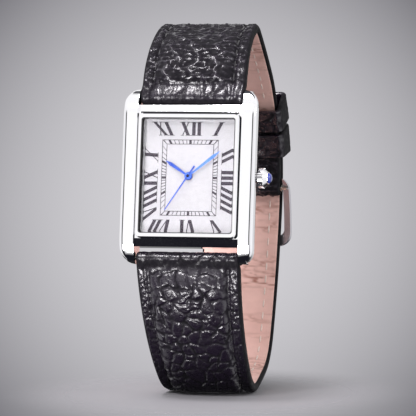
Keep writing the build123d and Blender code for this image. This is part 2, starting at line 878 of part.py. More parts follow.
# Crown: fluted band, coned end with a seat for the cabochon, hollow over the tube
with BuildPart() as crown:
    with BuildSketch(along_x(crown_start)):
        Circle(crown_radius)
        with PolarLocations(crown_radius, crown_flutes):
            Circle(crown_flute_depth, mode=Mode.SUBTRACT)
    extrude(amount=crown_band)
    with BuildSketch(along_x(crown_end)):
        Circle(crown_radius - crown_flute_depth)
    with BuildSketch(along_x(crown_end + crown_cone)):
        Circle(cabochon_radius)
    loft()
    cylinder(along_x(crown_end + crown_cone), cabochon_radius, crown_flute_depth)
    bore_depth = crown_tube_reach - crown_gap + crown_gasket_width
    with BuildSketch(along_x(crown_start)):
        Circle(crown_bore_radius)
    extrude(amount=bore_depth, mode=Mode.SUBTRACT)
    with BuildSketch(along_x(crown_end + crown_cone)):
        Circle(cabochon_radius - crown_flute_depth)
    extrude(amount=crown_flute_depth, mode=Mode.SUBTRACT)
save(crown.part, "crown")

with BuildPart() as crown_cabochon:
    cabochon_base = crown_end + crown_cone
    cabochon_seat_radius = cabochon_radius - crown_flute_depth
    with BuildSketch(Plane.XY.offset(0)):
        with BuildLine():
            foot = Line((cabochon_base, -crown_height), (cabochon_base, -crown_height + cabochon_seat_radius))
            side = Line(foot @ 1, (cabochon_base + crown_flute_depth, -crown_height + cabochon_seat_radius))
            dome = TangentArc(
                side @ 1,
                (cabochon_base + cabochon_rise, -crown_height + 0.2 * cabochon_seat_radius),
                tangent=(1, -0.35),
            )
            cap = Line(dome @ 1, (cabochon_base + cabochon_rise, -crown_height))
            Line(cap @ 1, foot @ 0)
        make_face()
    revolve(axis=Axis((0, -crown_height, 0), (1, 0, 0)))
save(crown_cabochon.part, "crown_cabochon")

with BuildPart() as crown_gasket:
    gasket_place = along_x(crown_start + running_fit)
    cylinder(gasket_place, crown_bore_radius, crown_gasket_width, crown_tube_radius + running_fit)
save(crown_gasket.part, "crown_gasket")

# Stem with the groove of the setting lever
with BuildPart() as stem:
    stem_outer_end = crown_start + bore_depth
    cylinder(along_x(stem_inner_end), stem_radius, stem_outer_end - stem_inner_end)
    with BuildSketch(along_x(stem_groove_place)):
        Circle(stem_radius)
        Circle(stem_groove_radius, mode=Mode.SUBTRACT)
    extrude(amount=stem_groove_width, mode=Mode.SUBTRACT)
save(stem.part, "stem")

# Sliding pinion on the stem's inner end, with teeth towards the setting wheel
with BuildPart() as sliding_pinion:
    with BuildSketch(along_x(pinion_place)):
        Circle(pinion_radius)
        Circle(stem_radius + running_fit, mode=Mode.SUBTRACT)
    extrude(amount=pinion_length)
    waist_width = pinion_length / 4
    with BuildSketch(along_x(pinion_place + pinion_length / 2)):
        Circle(pinion_radius)
        Circle(pinion_waist_radius, mode=Mode.SUBTRACT)
    extrude(amount=waist_width, mode=Mode.SUBTRACT)
save(sliding_pinion.part, "sliding_pinion")

# Setting lever: it turns on a stud, and its nose stands in the stem's groove
with BuildPart() as setting_lever:
    with BuildSketch(level(lever_level)):
        with Locations((groove_middle, -lever_arm / 2)):
            SlotCenterToCenter(lever_arm, lever_width, rotation=90)
        with Locations((groove_middle, -lever_arm)):
            Circle(lever_stud_radius + pivot_fit, mode=Mode.SUBTRACT)
    extrude(amount=lever_thickness)
    nose_length = stem_radius - stem_groove_radius
    cylinder(spot(groove_middle, 0, lever_level + lever_thickness), lever_nose_radius, nose_length)
save(setting_lever.part, "setting_lever")

# Spring bars: a barrel with a spring inside and a pin at each end
def spring_bar(place_y, place_z, half_width):
    """Return barrel, right pin and spring of a bar between two ears half_width from the middle."""
    axis = Axis((0, place_y, place_z), (1, 0, 0))
    profile_plane = Plane(origin=(0, place_y, place_z), x_dir=(1, 0, 0), z_dir=(0, 0, 1))
    barrel_end = half_width - bar_end_space
    with BuildPart() as barrel:
        with BuildSketch(profile_plane):
            with BuildLine():
                Polyline(
                    (0, bar_bore),
                    (0, bar_radius),
                    (barrel_end, bar_radius),
                    (barrel_end, pin_radius + pin_fit),
                    (barrel_end - bar_lip, pin_radius + pin_fit),
                    (barrel_end - bar_lip, bar_bore),
                    close=True,
                )
            make_face()
            mirror(about=Plane.YZ)
        revolve(axis=axis)
    head_end = barrel_end - bar_lip
    tip_end = half_width + pin_tip
    flange_start = barrel_end + pin_travel
    with BuildPart() as pin:
        with BuildSketch(profile_plane):
            with BuildLine():
                Polyline(
                    (head_end - pin_head, 0),
                    (head_end - pin_head, bar_bore - pin_fit),
                    (head_end, bar_bore - pin_fit),
                    (head_end, pin_radius),
                    (flange_start, pin_radius),
                    (flange_start, pin_flange_radius),
                    (flange_start + pin_flange, pin_flange_radius),
                    (flange_start + pin_flange, pin_radius),
                    (tip_end, pin_radius),
                    (tip_end, 0),
                    close=True,
                )
            make_face()
        revolve(axis=axis)
    spring_half = head_end - pin_head
    with BuildPart() as spring:
        with BuildSketch(Plane(origin=(-spring_half, place_y, place_z), x_dir=(0, 1, 0), z_dir=(1, 0, 0))):
            Circle(bar_spring_radius)
            Circle(bar_spring_bore, mode=Mode.SUBTRACT)
        extrude(amount=2 * spring_half)
    return barrel.part, pin.part, spring.part


def save_spring_bar(prefix, place_y, place_z, half_width):
    """Write a spring bar's barrel, spring and two pins."""
    barrel, right_pin, spring = spring_bar(place_y, place_z, half_width)
    with BuildPart() as left_pin:
        mirror(right_pin, about=Plane.YZ)
    save(barrel, f"{prefix}_spring_bar")
    save(right_pin, f"{prefix}_bar_pin_right")
    save(left_pin.part, f"{prefix}_bar_pin_left")
    save(spring, f"{prefix}_bar_spring")


save_spring_bar("upper", -bar_height, bar_z, half_gap)
save_spring_bar("lower", -bar_height, -bar_z, half_gap)


# Strap lines: tangent arcs in the side view, each as centre, radius, first angle and last angle
def arcs_from(start, heading, bends):
    """Arcs that all bend clockwise, from a start point and a heading in degrees."""
    y, z = start
    arcs = []
    for radius, turn in bends:
        first = heading + 90
        centre_y = y - radius * math.cos(math.radians(first))
        centre_z = z - radius * math.sin(math.radians(first))
        heading -= turn
        last = heading + 90
        y = centre_y + radius * math.cos(math.radians(last))
        z = centre_z + radius * math.sin(math.radians(last))
        arcs.append((centre_y, centre_z, radius, first, last))
    return arcs


def arc_spot(arc, angle, rise=0):
    """Point of an arc at an angle in degrees, a rise further out."""
    centre_y, centre_z, radius, first, last = arc
    return (
        centre_y + (radius + rise) * math.cos(math.radians(angle)),
        centre_z + (radius + rise) * math.sin(math.radians(angle)),
    )


def closing_arc(arc, end):
    """Arc that leaves another one's end in its direction and meets a point."""
    start_y, start_z = arc_spot(arc, arc[4])
    normal_y = -math.cos(math.radians(arc[4]))
    normal_z = -math.sin(math.radians(arc[4]))
    run_y = end[0] - start_y
    run_z = end[1] - start_z
    radius = (run_y**2 + run_z**2) / (2 * (run_y * normal_y + run_z * normal_z))
    centre_y = start_y + radius * normal_y
    centre_z = start_z + radius * normal_z
    last = math.degrees(math.atan2(end[1] - centre_z, end[0] - centre_y))
    while last > arc[4]:
        last -= 360
    return (centre_y, centre_z, radius, arc[4], last)


def stretch(arcs, begin, end):
    """The arcs between two distances along a strap line."""
    kept = []
    passed = 0
    for centre_y, centre_z, radius, first, last in arcs:
        length = radius * math.radians(first - last)
        low = max(begin, passed)
        high = min(end, passed + length)
        if high - low > length * 1e-6:
            new_first = first - math.degrees((low - passed) / radius)
            new_last = first - math.degrees((high - passed) / radius)
            kept.append((centre_y, centre_z, radius, new_first, new_last))
        passed += length
    return kept


def line_length(arcs):
    """Length of a strap line."""
    return sum(radius * math.radians(first - last) for _, _, radius, first, last in arcs)


def band(arcs, near, far):
    """Face between two rises over a strap line, in the sketch being drawn."""
    with BuildLine() as outline:
        for arc in arcs:
            angles = (arc[3], (arc[3] + arc[4]) / 2, arc[4])
            ThreePointArc(*[arc_spot(arc, angle, far) for angle in angles])
        Line(arc_spot(arcs[-1], arcs[-1][4], far), arc_spot(arcs[-1], arcs[-1][4], near))
        for arc in reversed(arcs):
            angles = (arc[4], (arc[3] + arc[4]) / 2, arc[3])
            ThreePointArc(*[arc_spot(arc, angle, near) for angle in angles])
        Line(arc_spot(arcs[0], arcs[0][3], near), arc_spot(arcs[0], arcs[0][3], far))
    make_face(outline.edges())


def rounded_band(arcs, near, far, half, radius, rises):
    """Part between two rises over a strap line, its edges at some of the rises rounded."""
    with BuildPart() as form:
        with BuildSketch(Plane.YZ):
            band(arcs, near, far)
        extrude(amount=half, both=True)
        radii = [arc[2] + rise for arc in arcs for rise in rises]
        long_edges = [
            edge
            for edge in form.edges().filter_by(GeomType.CIRCLE)
            if min(abs(edge.radius - radius) for radius in radii) < pivot_fit
        ]
        end_edges = []
        if len(rises) == 1:
            corners = (arc_spot(arcs[0], arcs[0][3], far), arc_spot(arcs[-1], arcs[-1][4], far))
            end_edges = [
                edge
                for edge in form.edges().filter_by(GeomType.LINE)
                if min(math.dist((edge.center().Y, edge.center().Z), spot) for spot in corners) < pivot_fit
            ]
        fillet(long_edges + end_edges, radius)
    return form.part


upper_lug_spot = (-bar_height, bar_z)
lower_lug_spot = (-bar_height, -bar_z)
upper_radii = (upper_lug_bend, upper_top_bend, upper_long_bend, upper_back_bend)
upper_line = arcs_from(upper_lug_spot, upper_heading, list(zip(upper_radii, upper_turns)))
upper_length = line_length(upper_line)
keeper_arc = upper_line[-1]
bar_spot = arc_spot(keeper_arc, keeper_arc[4])
buckle_out = (math.cos(math.radians(keeper_arc[4])), math.sin(math.radians(keeper_arc[4])))

stack_arc = (
    keeper_arc[0],
    keeper_arc[1],
    keeper_arc[2] + lower_stack,
    keeper_arc[4] + tip_turn,
    keeper_arc[4] - leave_turn,
)
leave_spot = arc_spot(stack_arc, stack_arc[4])
lower_radii = (lower_back_bend, lower_heel_bend, lower_long_bend, lower_base_bend)
lower_line = [stack_arc] + arcs_from(leave_spot, stack_arc[4] - 90, list(zip(lower_radii, lower_turns)))
lower_line.append(closing_arc(lower_line[-1], lower_lug_spot))
lower_length = line_length(lower_line)

# The strap narrows evenly from the lugs to the buckle
buckle_y = bar_spot[0]
taper = (strap_lug_width - strap_buckle_width) / 2 / (buckle_y + bar_height)


def strap_half_width(y):
    """Half the strap's width at a depth behind the lugs."""
    return strap_lug_width / 2 - taper * (y + bar_height)


with BuildPart() as strap_plan:
    front_y = -bar_height - strap_lug_width
    back_y = buckle_y + strap_buckle_width
    with BuildSketch(Plane.XY.offset(-rail_length * 2)):
        with BuildLine():
            Polyline(
                (-strap_lug_width / 2, front_y),
                (strap_lug_width / 2, front_y),
                (strap_lug_width / 2, -bar_height),
                (strap_half_width(back_y), back_y),
                (-strap_half_width(back_y), back_y),
                (-strap_lug_width / 2, -bar_height),
                close=True,
            )
        make_face()
    extrude(amount=rail_length * 4)

# Plane of the buckle: outward from the wrist, its upward direction running down the strap
buckle_plane = Plane(
    origin=(0, bar_spot[0], bar_spot[1]), x_dir=(1, 0, 0), z_dir=(0, buckle_out[0], buckle_out[1])
)
with BuildPart() as tang_slot:
    with BuildSketch(buckle_plane.offset(-2 * wrap_radius)):
        with Locations((0, 0)):
            Rectangle(slot_width, 2 * slot_length)
    extrude(amount=4 * wrap_radius)

# Upper strap: lining, filler with the padding, and outer leather that wraps both bars
# Its padding ends with the line's first bend
upper_pad_end = line_length(upper_line[:1]) - 2 * leather_thickness
upper_lining_start = upper_end_radius
upper_lining_end = upper_length - wrap_radius - slot_length
top_of_strap = filler_thickness + leather_thickness
with BuildPart() as upper_strap_lining:
    with BuildSketch(Plane.YZ):
        band(stretch(upper_line, upper_lining_start, upper_lining_end), -lining_thickness, 0)
        with Locations(upper_lug_spot):
            Circle(upper_end_radius, mode=Mode.SUBTRACT)
    extrude(amount=strap_lug_width, both=True)
    add(strap_plan.part, mode=Mode.INTERSECT)
save(upper_strap_lining.part, "upper_strap_lining")

with BuildPart() as upper_strap_filler:
    with BuildSketch(Plane.YZ):
        band(stretch(upper_line, upper_lining_start, upper_lining_end), 0, filler_thickness)
        with Locations(upper_lug_spot):
            Circle(upper_end_radius, mode=Mode.SUBTRACT)
    extrude(amount=strap_lug_width, both=True)
    add(strap_plan.part, mode=Mode.INTERSECT)
    # Padding: a low rounded mound in the middle of the strap
    upper_pad = stretch(upper_line, pad_start, upper_pad_end)
    filler_half = strap_buckle_width / 2 - pad_margin + leather_thickness / 4
    add(rounded_band(upper_pad, filler_thickness / 2, pad_rise, filler_half, filler_round, [pad_rise]))
save(upper_strap_filler.part, "upper_strap_filler")

with BuildPart() as upper_strap_leather:
    with BuildSketch(Plane.YZ):
        band(upper_line, 0, top_of_strap)
        with Locations(upper_lug_spot):
            Circle(upper_end_radius)
        with Locations(bar_spot):
            Circle(wrap_radius)
        band(
            stretch(upper_line, upper_length - wrap_turn_back, upper_length),
            -lining_thickness - leather_thickness,
            -lining_thickness,
        )
        band(stretch(upper_line, upper_lining_end, upper_length), -lining_thickness, 0)
        with Locations(upper_lug_spot, bar_spot):
            Circle(strap_bore_radius, mode=Mode.SUBTRACT)
    extrude(amount=strap_lug_width, both=True)
    pad_front = pad_rise + leather_thickness
    pad_half = strap_buckle_width / 2 - pad_margin + leather_thickness
    upper_cover = stretch(upper_line, pad_start - leather_thickness, upper_pad_end + leather_thickness)
    add(rounded_band(upper_cover, filler_thickness, pad_front, pad_half, pad_round, [pad_front]))
    add(strap_plan.part, mode=Mode.INTERSECT)
    add(upper_strap_filler.part, mode=Mode.SUBTRACT)
    add(tang_slot.part, mode=Mode.SUBTRACT)
save(upper_strap_leather.part, "upper_strap_leather")

# Buckle bar, a third spring bar at the upper strap's end
ear_inner = buckle_half_width - buckle_arm
save_spring_bar("buckle", bar_spot[0], bar_spot[1], ear_inner)

# Holes of the lower strap: one for the tang, some towards the tip and some towards the lug
bar_length = (stack_arc[2]) * math.radians(tip_turn)
tang_hole_length = bar_length + tang_hole_place
with BuildPart() as strap_holes:
    for index in range(-holes_above, holes_below + 1):
        hole_length = tang_hole_length + index * hole_pitch
        before = stretch(lower_line, 0, hole_length)[-1]
        hole_y, hole_z = arc_spot(before, before[4], -2 * lining_thickness)
        out_y = math.cos(math.radians(before[4]))
        out_z = math.sin(math.radians(before[4]))
        hole_plane = Plane(origin=(0, hole_y, hole_z), x_dir=(1, 0, 0), z_dir=(0, out_y, out_z))
        with BuildSketch(hole_plane):
            Circle(hole_radius)
        extrude(amount=3 * lining_thickness + 2 * top_of_strap)

# Rounded tip: everything past the tip's outline is cut away
tip_y, tip_z = arc_spot(stack_arc, stack_arc[3])
tip_out = (math.cos(math.radians(stack_arc[3])), math.sin(math.radians(stack_arc[3])))
tip_plane = Plane(origin=(0, tip_y, tip_z), x_dir=(1, 0, 0), z_dir=(0, tip_out[0], tip_out[1]))
with BuildPart() as tip_cutter:
    with BuildSketch(tip_plane.offset(-2 * wrap_radius)):
        half_tip = strap_buckle_width
        with BuildLine():
            Polyline(
                (-half_tip, tip_radius),
                (-half_tip, -overrun),
                (half_tip, -overrun),
                (half_tip, tip_radius),
            )
            ThreePointArc((half_tip, tip_radius), (0, 0), (-half_tip, tip_radius))
        make_face()
    extrude(amount=4 * wrap_radius)

lower_end = lower_length - lower_end_radius
with BuildPart() as lower_strap_lining:
    with BuildSketch(Plane.YZ):
        band(stretch(lower_line, 0, lower_end), -lining_thickness, 0)
        with Locations(lower_lug_spot):
            Circle(lower_end_radius, mode=Mode.SUBTRACT)
    extrude(amount=strap_lug_width, both=True)
    add(strap_plan.part, mode=Mode.INTERSECT)
    add(strap_holes.part, mode=Mode.SUBTRACT)
    add(tip_cutter.part, mode=Mode.SUBTRACT)
save(lower_strap_lining.part, "lower_strap_lining")

# The lower padding ends with the line's base bend
lower_pad_end = lower_length - pad_start
lower_pad_begin = line_length(lower_line[:-2]) + 2 * leather_thickness
with BuildPart() as lower_strap_filler:
    with BuildSketch(Plane.YZ):
        band(stretch(lower_line, 0, lower_end), 0, filler_thickness)
        with Locations(lower_lug_spot):
            Circle(lower_end_radius, mode=Mode.SUBTRACT)
    extrude(amount=strap_lug_width, both=True)
    add(strap_plan.part, mode=Mode.INTERSECT)
    lower_pad = stretch(lower_line, lower_pad_begin, lower_pad_end)
    add(rounded_band(lower_pad, filler_thickness / 2, pad_rise, filler_half, filler_round, [pad_rise]))
    add(strap_holes.part, mode=Mode.SUBTRACT)
    add(tip_cutter.part, mode=Mode.SUBTRACT)
save(lower_strap_filler.part, "lower_strap_filler")

with BuildPart() as lower_strap_leather:
    with BuildSketch(Plane.YZ):
        band(lower_line, filler_thickness, top_of_strap)
        band(stretch(lower_line, lower_end, lower_length), 0, filler_thickness)
        with Locations(lower_lug_spot):
            Circle(lower_end_radius)
            Circle(strap_bore_radius, mode=Mode.SUBTRACT)
    extrude(amount=strap_lug_width, both=True)
    lower_cover = stretch(lower_line, lower_pad_begin - leather_thickness, lower_pad_end + leather_thickness)
    add(rounded_band(lower_cover, filler_thickness, pad_front, pad_half, pad_round, [pad_front]))
    add(strap_plan.part, mode=Mode.INTERSECT)
    add(lower_strap_filler.part, mode=Mode.SUBTRACT)
    add(strap_holes.part, mode=Mode.SUBTRACT)
    add(tip_cutter.part, mode=Mode.SUBTRACT)
save(lower_strap_leather.part, "lower_strap_leather")


def keeper(start, slack):
    """Leather loop round both straps, at a distance before the buckle bar."""
    keeper_end = upper_length - start
    arcs = stretch(upper_line, keeper_end - keeper_width, keeper_end)
    inner = -lining_thickness - leather_thickness - slack
    outer = lower_stack + top_of_strap + keeper_slack
    keeper_half = strap_half_width(arc_spot(arcs[0], arcs[0][3])[0]) + keeper_slack
    low, high = inner - keeper_wall, outer + keeper_wall
    loop = rounded_band(arcs, low, high, keeper_half + keeper_wall, keeper_round, [low, high])
    longer = stretch(upper_line, keeper_end - keeper_width - overrun, keeper_end + overrun)
    return loop - rounded_band(longer, inner, outer, keeper_half, keeper_inner_round, [inner, outer])


save(keeper(fixed_keeper_place, 0), "fixed_keeper")
free_keeper_place = fixed_keeper_place + keeper_width + keeper_gap
save(keeper(free_keeper_place, keeper_slack), "free_keeper")

# Side view of the buckle: first direction down the strap, second outward from the wrist
buckle_side = Plane(origin=buckle_plane.origin, x_dir=buckle_plane.y_dir, z_dir=(1, 0, 0))
frame_top = buckle_rise + buckle_thickness

# Buckle frame: bowed arms from the bar's ears to the cross bar over the lower strap
with BuildPart() as buckle_frame:
    with BuildSketch(buckle_side):
        with BuildLine():
            ear_foot = -ear_drop_share * buckle_thickness
            ear_head = (1 - ear_drop_share) * buckle_thickness
            bow = bow_share * buckle_rise
            under = ThreePointArc(
                (-buckle_top, ear_foot), (buckle_reach / 2, bow), (buckle_reach, buckle_rise)
            )
            end = Line(under @ 1, (buckle_reach, frame_top))
            over = ThreePointArc(
                end @ 1, (buckle_reach / 2, bow + buckle_thickness), (-buckle_top, ear_head)
            )
            Line(over @ 1, under @ 0)
        make_face()
    extrude(amount=buckle_half_width, both=True)
    frame_length = buckle_top + buckle_reach
    frame_middle = (buckle_reach - buckle_top) / 2
    with BuildSketch(buckle_plane.offset(-frame_length)):
        with Locations((0, frame_middle)):
            RectangleRounded(2 * buckle_half_width, frame_length, buckle_corner_radius)
        with Locations((0, frame_middle - buckle_bar_width)):
            RectangleRounded(
                2 * ear_inner, frame_length, buckle_corner_radius - buckle_arm, mode=Mode.SUBTRACT
            )
        with Locations((0, -buckle_top)):
            Rectangle(2 * ear_inner, 2 * buckle_corner_radius, mode=Mode.SUBTRACT)
    extrude(amount=2 * frame_length, mode=Mode.INTERSECT)
    with BuildSketch(Plane(origin=(-rail_span, bar_spot[0], bar_spot[1]), x_dir=(0, 1, 0), z_dir=(1, 0, 0))):
        Circle(pin_radius + pin_fit)
    extrude(amount=2 * rail_span, mode=Mode.SUBTRACT)
save(buckle_frame.part, "buckle_frame")

# Tang: a ring on the bar, a leg up through the strap's hole and a bar out to the cross bar
tang_top = frame_top + tang_thickness / 2 + tang_rest_gap
with BuildPart() as buckle_tang:
    with BuildSketch(buckle_side):
        with BuildLine() as tang_route:
            leg_foot = (tang_hole_place, 0)
            FilletPolyline(
                leg_foot,
                (tang_hole_place, tang_top - tang_thickness / 2),
                (buckle_reach + tang_overhang, tang_top),
                radius=tang_thickness,
            )
        trace(tang_route.edges(), line_width=tang_thickness)
        Circle(tang_ring_radius)
        with Locations((tang_hole_place / 2, 0)):
            Rectangle(tang_hole_place, 2 * tang_thickness)
        Circle(tang_ring_bore, mode=Mode.SUBTRACT)
    extrude(amount=tang_width / 2, both=True)
save(buckle_tang.part, "buckle_tang")
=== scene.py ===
import bpy
import bmesh
import math
import numpy as np
from mathutils import Matrix, Vector


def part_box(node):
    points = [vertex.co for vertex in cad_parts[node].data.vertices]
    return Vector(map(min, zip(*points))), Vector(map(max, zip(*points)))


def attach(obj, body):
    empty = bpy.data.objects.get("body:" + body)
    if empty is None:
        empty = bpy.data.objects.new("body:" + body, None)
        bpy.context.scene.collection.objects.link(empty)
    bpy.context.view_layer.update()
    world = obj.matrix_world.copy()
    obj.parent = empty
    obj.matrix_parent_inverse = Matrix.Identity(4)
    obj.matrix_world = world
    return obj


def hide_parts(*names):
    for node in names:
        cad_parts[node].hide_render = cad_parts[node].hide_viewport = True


# Rectangular wristwatch on a padded leather strap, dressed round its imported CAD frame.
# Metres. +Y points from the dial to the wrist, +Z to twelve o'clock and +X to the crown.
# A height is a distance in front of the case back's outer face, so it counts along -Y.
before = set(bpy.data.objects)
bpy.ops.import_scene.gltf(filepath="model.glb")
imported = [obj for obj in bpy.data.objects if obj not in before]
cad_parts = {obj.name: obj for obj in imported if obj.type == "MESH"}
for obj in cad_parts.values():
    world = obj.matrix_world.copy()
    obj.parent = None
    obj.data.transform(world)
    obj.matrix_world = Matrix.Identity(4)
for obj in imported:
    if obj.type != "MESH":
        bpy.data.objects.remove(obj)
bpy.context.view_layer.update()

# Case middle and rails
# One piece of polished stainless steel. The middle is milled hollow for the movement, and the two
# rails at its sides reach past it as lugs, which hold the spring bars of the strap.
mm = 0.001


def set_inputs(tree, node, inputs):
    """Values on a node's sockets, or links where a value is another node's output."""
    for socket, value in inputs.items():
        if isinstance(value, bpy.types.NodeSocket):
            tree.links.new(value, node.inputs[socket])
        else:
            node.inputs[socket].default_value = value


def add_node(tree, kind, inputs, **settings):
    """A new node with its settings and inputs; returns its outputs."""
    node = tree.nodes.new(kind)
    for setting, value in settings.items():
        setattr(node, setting, value)
    set_inputs(tree, node, inputs)
    return node.outputs


def surface(name, values):
    """A material with plain values on its shader's own sockets, its node tree and the shader."""
    material = bpy.data.materials.new(name)
    material.use_nodes = True
    shader = material.node_tree.nodes["Principled BSDF"]
    set_inputs(material.node_tree, shader, values)
    return material, material.node_tree, shader


def place(tree, stretch=(1, 1, 1)):
    """Object coordinates in millimetres, stretched along the axes."""
    coordinates = add_node(tree, "ShaderNodeTexCoord", {})
    scale = [share / mm for share in stretch]
    mapping = add_node(tree, "ShaderNodeMapping", {"Vector": coordinates["Object"], "Scale": scale})
    return mapping["Vector"]


def noise(tree, vector, scale, detail=2.0):
    """A cloudy value from 0 to 1."""
    values = {"Vector": vector, "Scale": scale, "Detail": detail}
    return add_node(tree, "ShaderNodeTexNoise", values)["Fac"]


def ranged(tree, value, source, target, **settings):
    """A value taken from one range to another."""
    values = {"Value": value, "From Min": source[0], "From Max": source[1]}
    values.update({"To Min": target[0], "To Max": target[1]})
    return add_node(tree, "ShaderNodeMapRange", values, **settings)["Result"]


def calculated(tree, kind, operation, *values):
    """Outputs of a mathematics node on numbers, vectors or other nodes' outputs."""
    return add_node(tree, "ShaderNode" + kind, dict(enumerate(values)), operation=operation)


def bumped(tree, height, strength, distance):
    """A normal that a height bends."""
    values = {"Height": height, "Strength": strength, "Distance": distance}
    return add_node(tree, "ShaderNodeBump", values)["Normal"]


def new_group(name, inputs, outputs):
    """A node group of a vector and named numbers; returns the tree, its given and its results."""
    tree = bpy.data.node_groups.new(name, "ShaderNodeTree")
    tree.interface.new_socket("Vector", in_out="INPUT", socket_type="NodeSocketVector")
    for side, labels in (("INPUT", inputs), ("OUTPUT", outputs)):
        for label in labels:
            tree.interface.new_socket(label, in_out=side, socket_type="NodeSocketFloat")
    return tree, tree.nodes.new("NodeGroupInput").outputs, tree.nodes.new("NodeGroupOutput")


hairlines, given, results = new_group("hairlines", ("Smooth", "Dull"), ("Roughness", "Height"))
lines = noise(hairlines, given["Vector"], 6.0, 3.0)
smudges = noise(hairlines, given["Vector"], 0.25)
smudged = calculated(hairlines, "Math", "MULTIPLY", lines, smudges)[0]
set_inputs(hairlines, results, {
    "Roughness": ranged(hairlines, smudged, (0.12, 0.42), (given["Smooth"], given["Dull"])),
    "Height": lines,
})


def brushed(name, colour, rough, stretch, depth):
    """A metal with hairlines: its colour, its roughness' ends, the lines' stretch and depth."""
    metal, tree, shader = surface(name, {"Base Color": (*colour, 1), "Metallic": 1.0})
    values = {"Vector": place(tree, stretch), "Smooth": rough[0], "Dull": rough[1]}
    scratches = add_node(tree, "ShaderNodeGroup", values, node_tree=hairlines)
    set_inputs(tree, shader, {
        "Roughness": scratches["Roughness"],
        "Normal": bumped(tree, scratches["Height"], depth, 0.01 * mm),
    })
    return metal


def dress(slot, material):
    """The material on every CAD node of a slot."""
    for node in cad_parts.values():
        if node.data.materials[0].name == slot:
            node.material_slots[0].material = material


def deselect():
    """Nothing is selected."""
    bpy.ops.object.select_all(action="DESELECT")


def select_only(piece):
    """One piece is selected and active."""
    deselect()
    piece.select_set(True)
    bpy.context.view_layer.objects.active = piece


def new_piece(name, data):
    """An object of the scene with its mesh or other data."""
    piece = bpy.data.objects.new(name, data)
    bpy.context.scene.collection.objects.link(piece)
    return piece


def edit_all(piece, operator, **settings):
    """A mesh operator on the whole of a piece."""
    select_only(piece)
    bpy.ops.object.mode_set(mode="EDIT")
    bpy.ops.mesh.select_all(action="SELECT")
    operator(**settings)
    bpy.ops.object.mode_set(mode="OBJECT")


case_steel = brushed("case_steel", (0.93, 0.925, 0.94), (0.02, 0.06), (0.5, 0.5, 0.5), 0.02)
dress("polished_steel", case_steel)

# The copy's front slopes are flatter at their outer edge, and its side walls lean inwards
shoulder_reach = 13.55 * mm
shoulder_foot = -3.4 * mm
shoulder_rise = 1.5 * mm
shoulder_growth = 0.16 * mm
wall_start = 11.8 * mm
wall_front = -5.4 * mm
wall_depth = 4.6 * mm
wall_slant = 0.85 * mm
edge_tolerance = 0.02 * mm
merge_distance = 0.001 * mm

case_shell = new_piece("case_shell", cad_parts["case_body"].data.copy())
select_only(case_shell)
if case_shell.data.has_custom_normals:
    bpy.ops.mesh.customdata_custom_splitnormals_clear()
edit_all(case_shell, bpy.ops.mesh.remove_doubles, threshold=merge_distance)
for vertex in case_shell.data.vertices:
    spot = vertex.co
    off_edge = max(abs(abs(spot.z) - shoulder_reach), abs(spot.y - shoulder_foot))
    if off_edge < edge_tolerance:
        spot.y -= shoulder_rise
        spot.z += shoulder_growth if spot.z > 0 else 0
    if abs(spot.x) > wall_start and spot.y > wall_front:
        spot.x -= math.copysign(wall_slant * (spot.y - wall_front) / wall_depth, spot.x)
bpy.ops.object.shade_smooth_by_angle(angle=math.radians(25))
case_shell.data.materials.clear()
case_shell.data.materials.append(case_steel)
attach(case_shell, "case")
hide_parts("case_body")

# Painted shade: a near-black thin bar that follows the upper slope stands for the shadow in the
# line between bezel and upper slope
slope_height = 2.3 * mm
gap_start = 12.0 * mm
gap_width = 0.34 * mm
gap_half_length = 9.75 * mm
gap_rise = 0.05 * mm
painted_gap_shade, _, _ = surface("painted_gap_shade", {
    "Base Color": (0.004, 0.004, 0.005, 1), "Roughness": 0.9, "Specular IOR Level": 0.1,
})
deselect()
bpy.ops.mesh.primitive_cube_add(
    size=1, location=(0, shoulder_foot - slope_height - gap_rise, gap_start + gap_width / 2)
)
bezel_gap_shade = bpy.context.active_object
bezel_gap_shade.name = "bezel_gap_shade"
bezel_gap_shade.scale = (2 * gap_half_length, 2 * gap_rise, gap_width)
bpy.ops.object.transform_apply(location=True, rotation=True, scale=True)
for vertex in bezel_gap_shade.data.vertices:
    fall = (vertex.co.z - gap_start) * (slope_height - shoulder_rise)
    vertex.co.y += fall / (shoulder_reach - gap_start)
bezel_gap_shade.data.materials.append(painted_gap_shade)
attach(bezel_gap_shade, "case")

# Case back
# A thin steel plate with a rim that plugs into the middle, held by four slotted screws.
# It is brushed along the watch, and the wrist has dulled it.
back_steel = brushed("back_steel", (0.72, 0.715, 0.72), (0.16, 0.34), (6.0, 1.0, 0.3), 0.25)
dress("case_back_steel", back_steel)

# Crystal and gaskets
# A flat mineral glass, coated against reflections, pressed into the bezel with a black rubber ring
# round it. Light on its way to the dial passes it unbent, so the glass casts no dark shadow.
crystal_glass, glass_tree, glass_shader = surface("clear_crystal", {
    "Roughness": 0.0, "IOR": 1.22, "Transmission Weight": 1.0,
})
glass_mix = add_node(glass_tree, "ShaderNodeMixShader", {
    "Fac": add_node(glass_tree, "ShaderNodeLightPath", {})["Is Shadow Ray"],
    1: glass_shader.outputs["BSDF"],
    2: add_node(glass_tree, "ShaderNodeBsdfTransparent", {"Color": (0.97, 0.97, 0.98, 1)})["BSDF"],
})
set_inputs(glass_tree, glass_tree.nodes["Material Output"], {"Surface": glass_mix["Shader"]})
dress("crystal_glass", crystal_glass)


def ramp(tree, factor, stops):
    """Colours along a value, from stops that are each a position and a colour."""
    node = tree.nodes.new("ShaderNodeValToRGB")
    set_inputs(tree, node, {"Fac": factor})
    while len(node.color_ramp.elements) < len(stops):
        node.color_ramp.elements.new(0.5)
    for element, (position, colour) in zip(node.color_ramp.elements, stops):
        element.position = position
        element.color = (*colour, 1)
    return node.outputs["Color"]


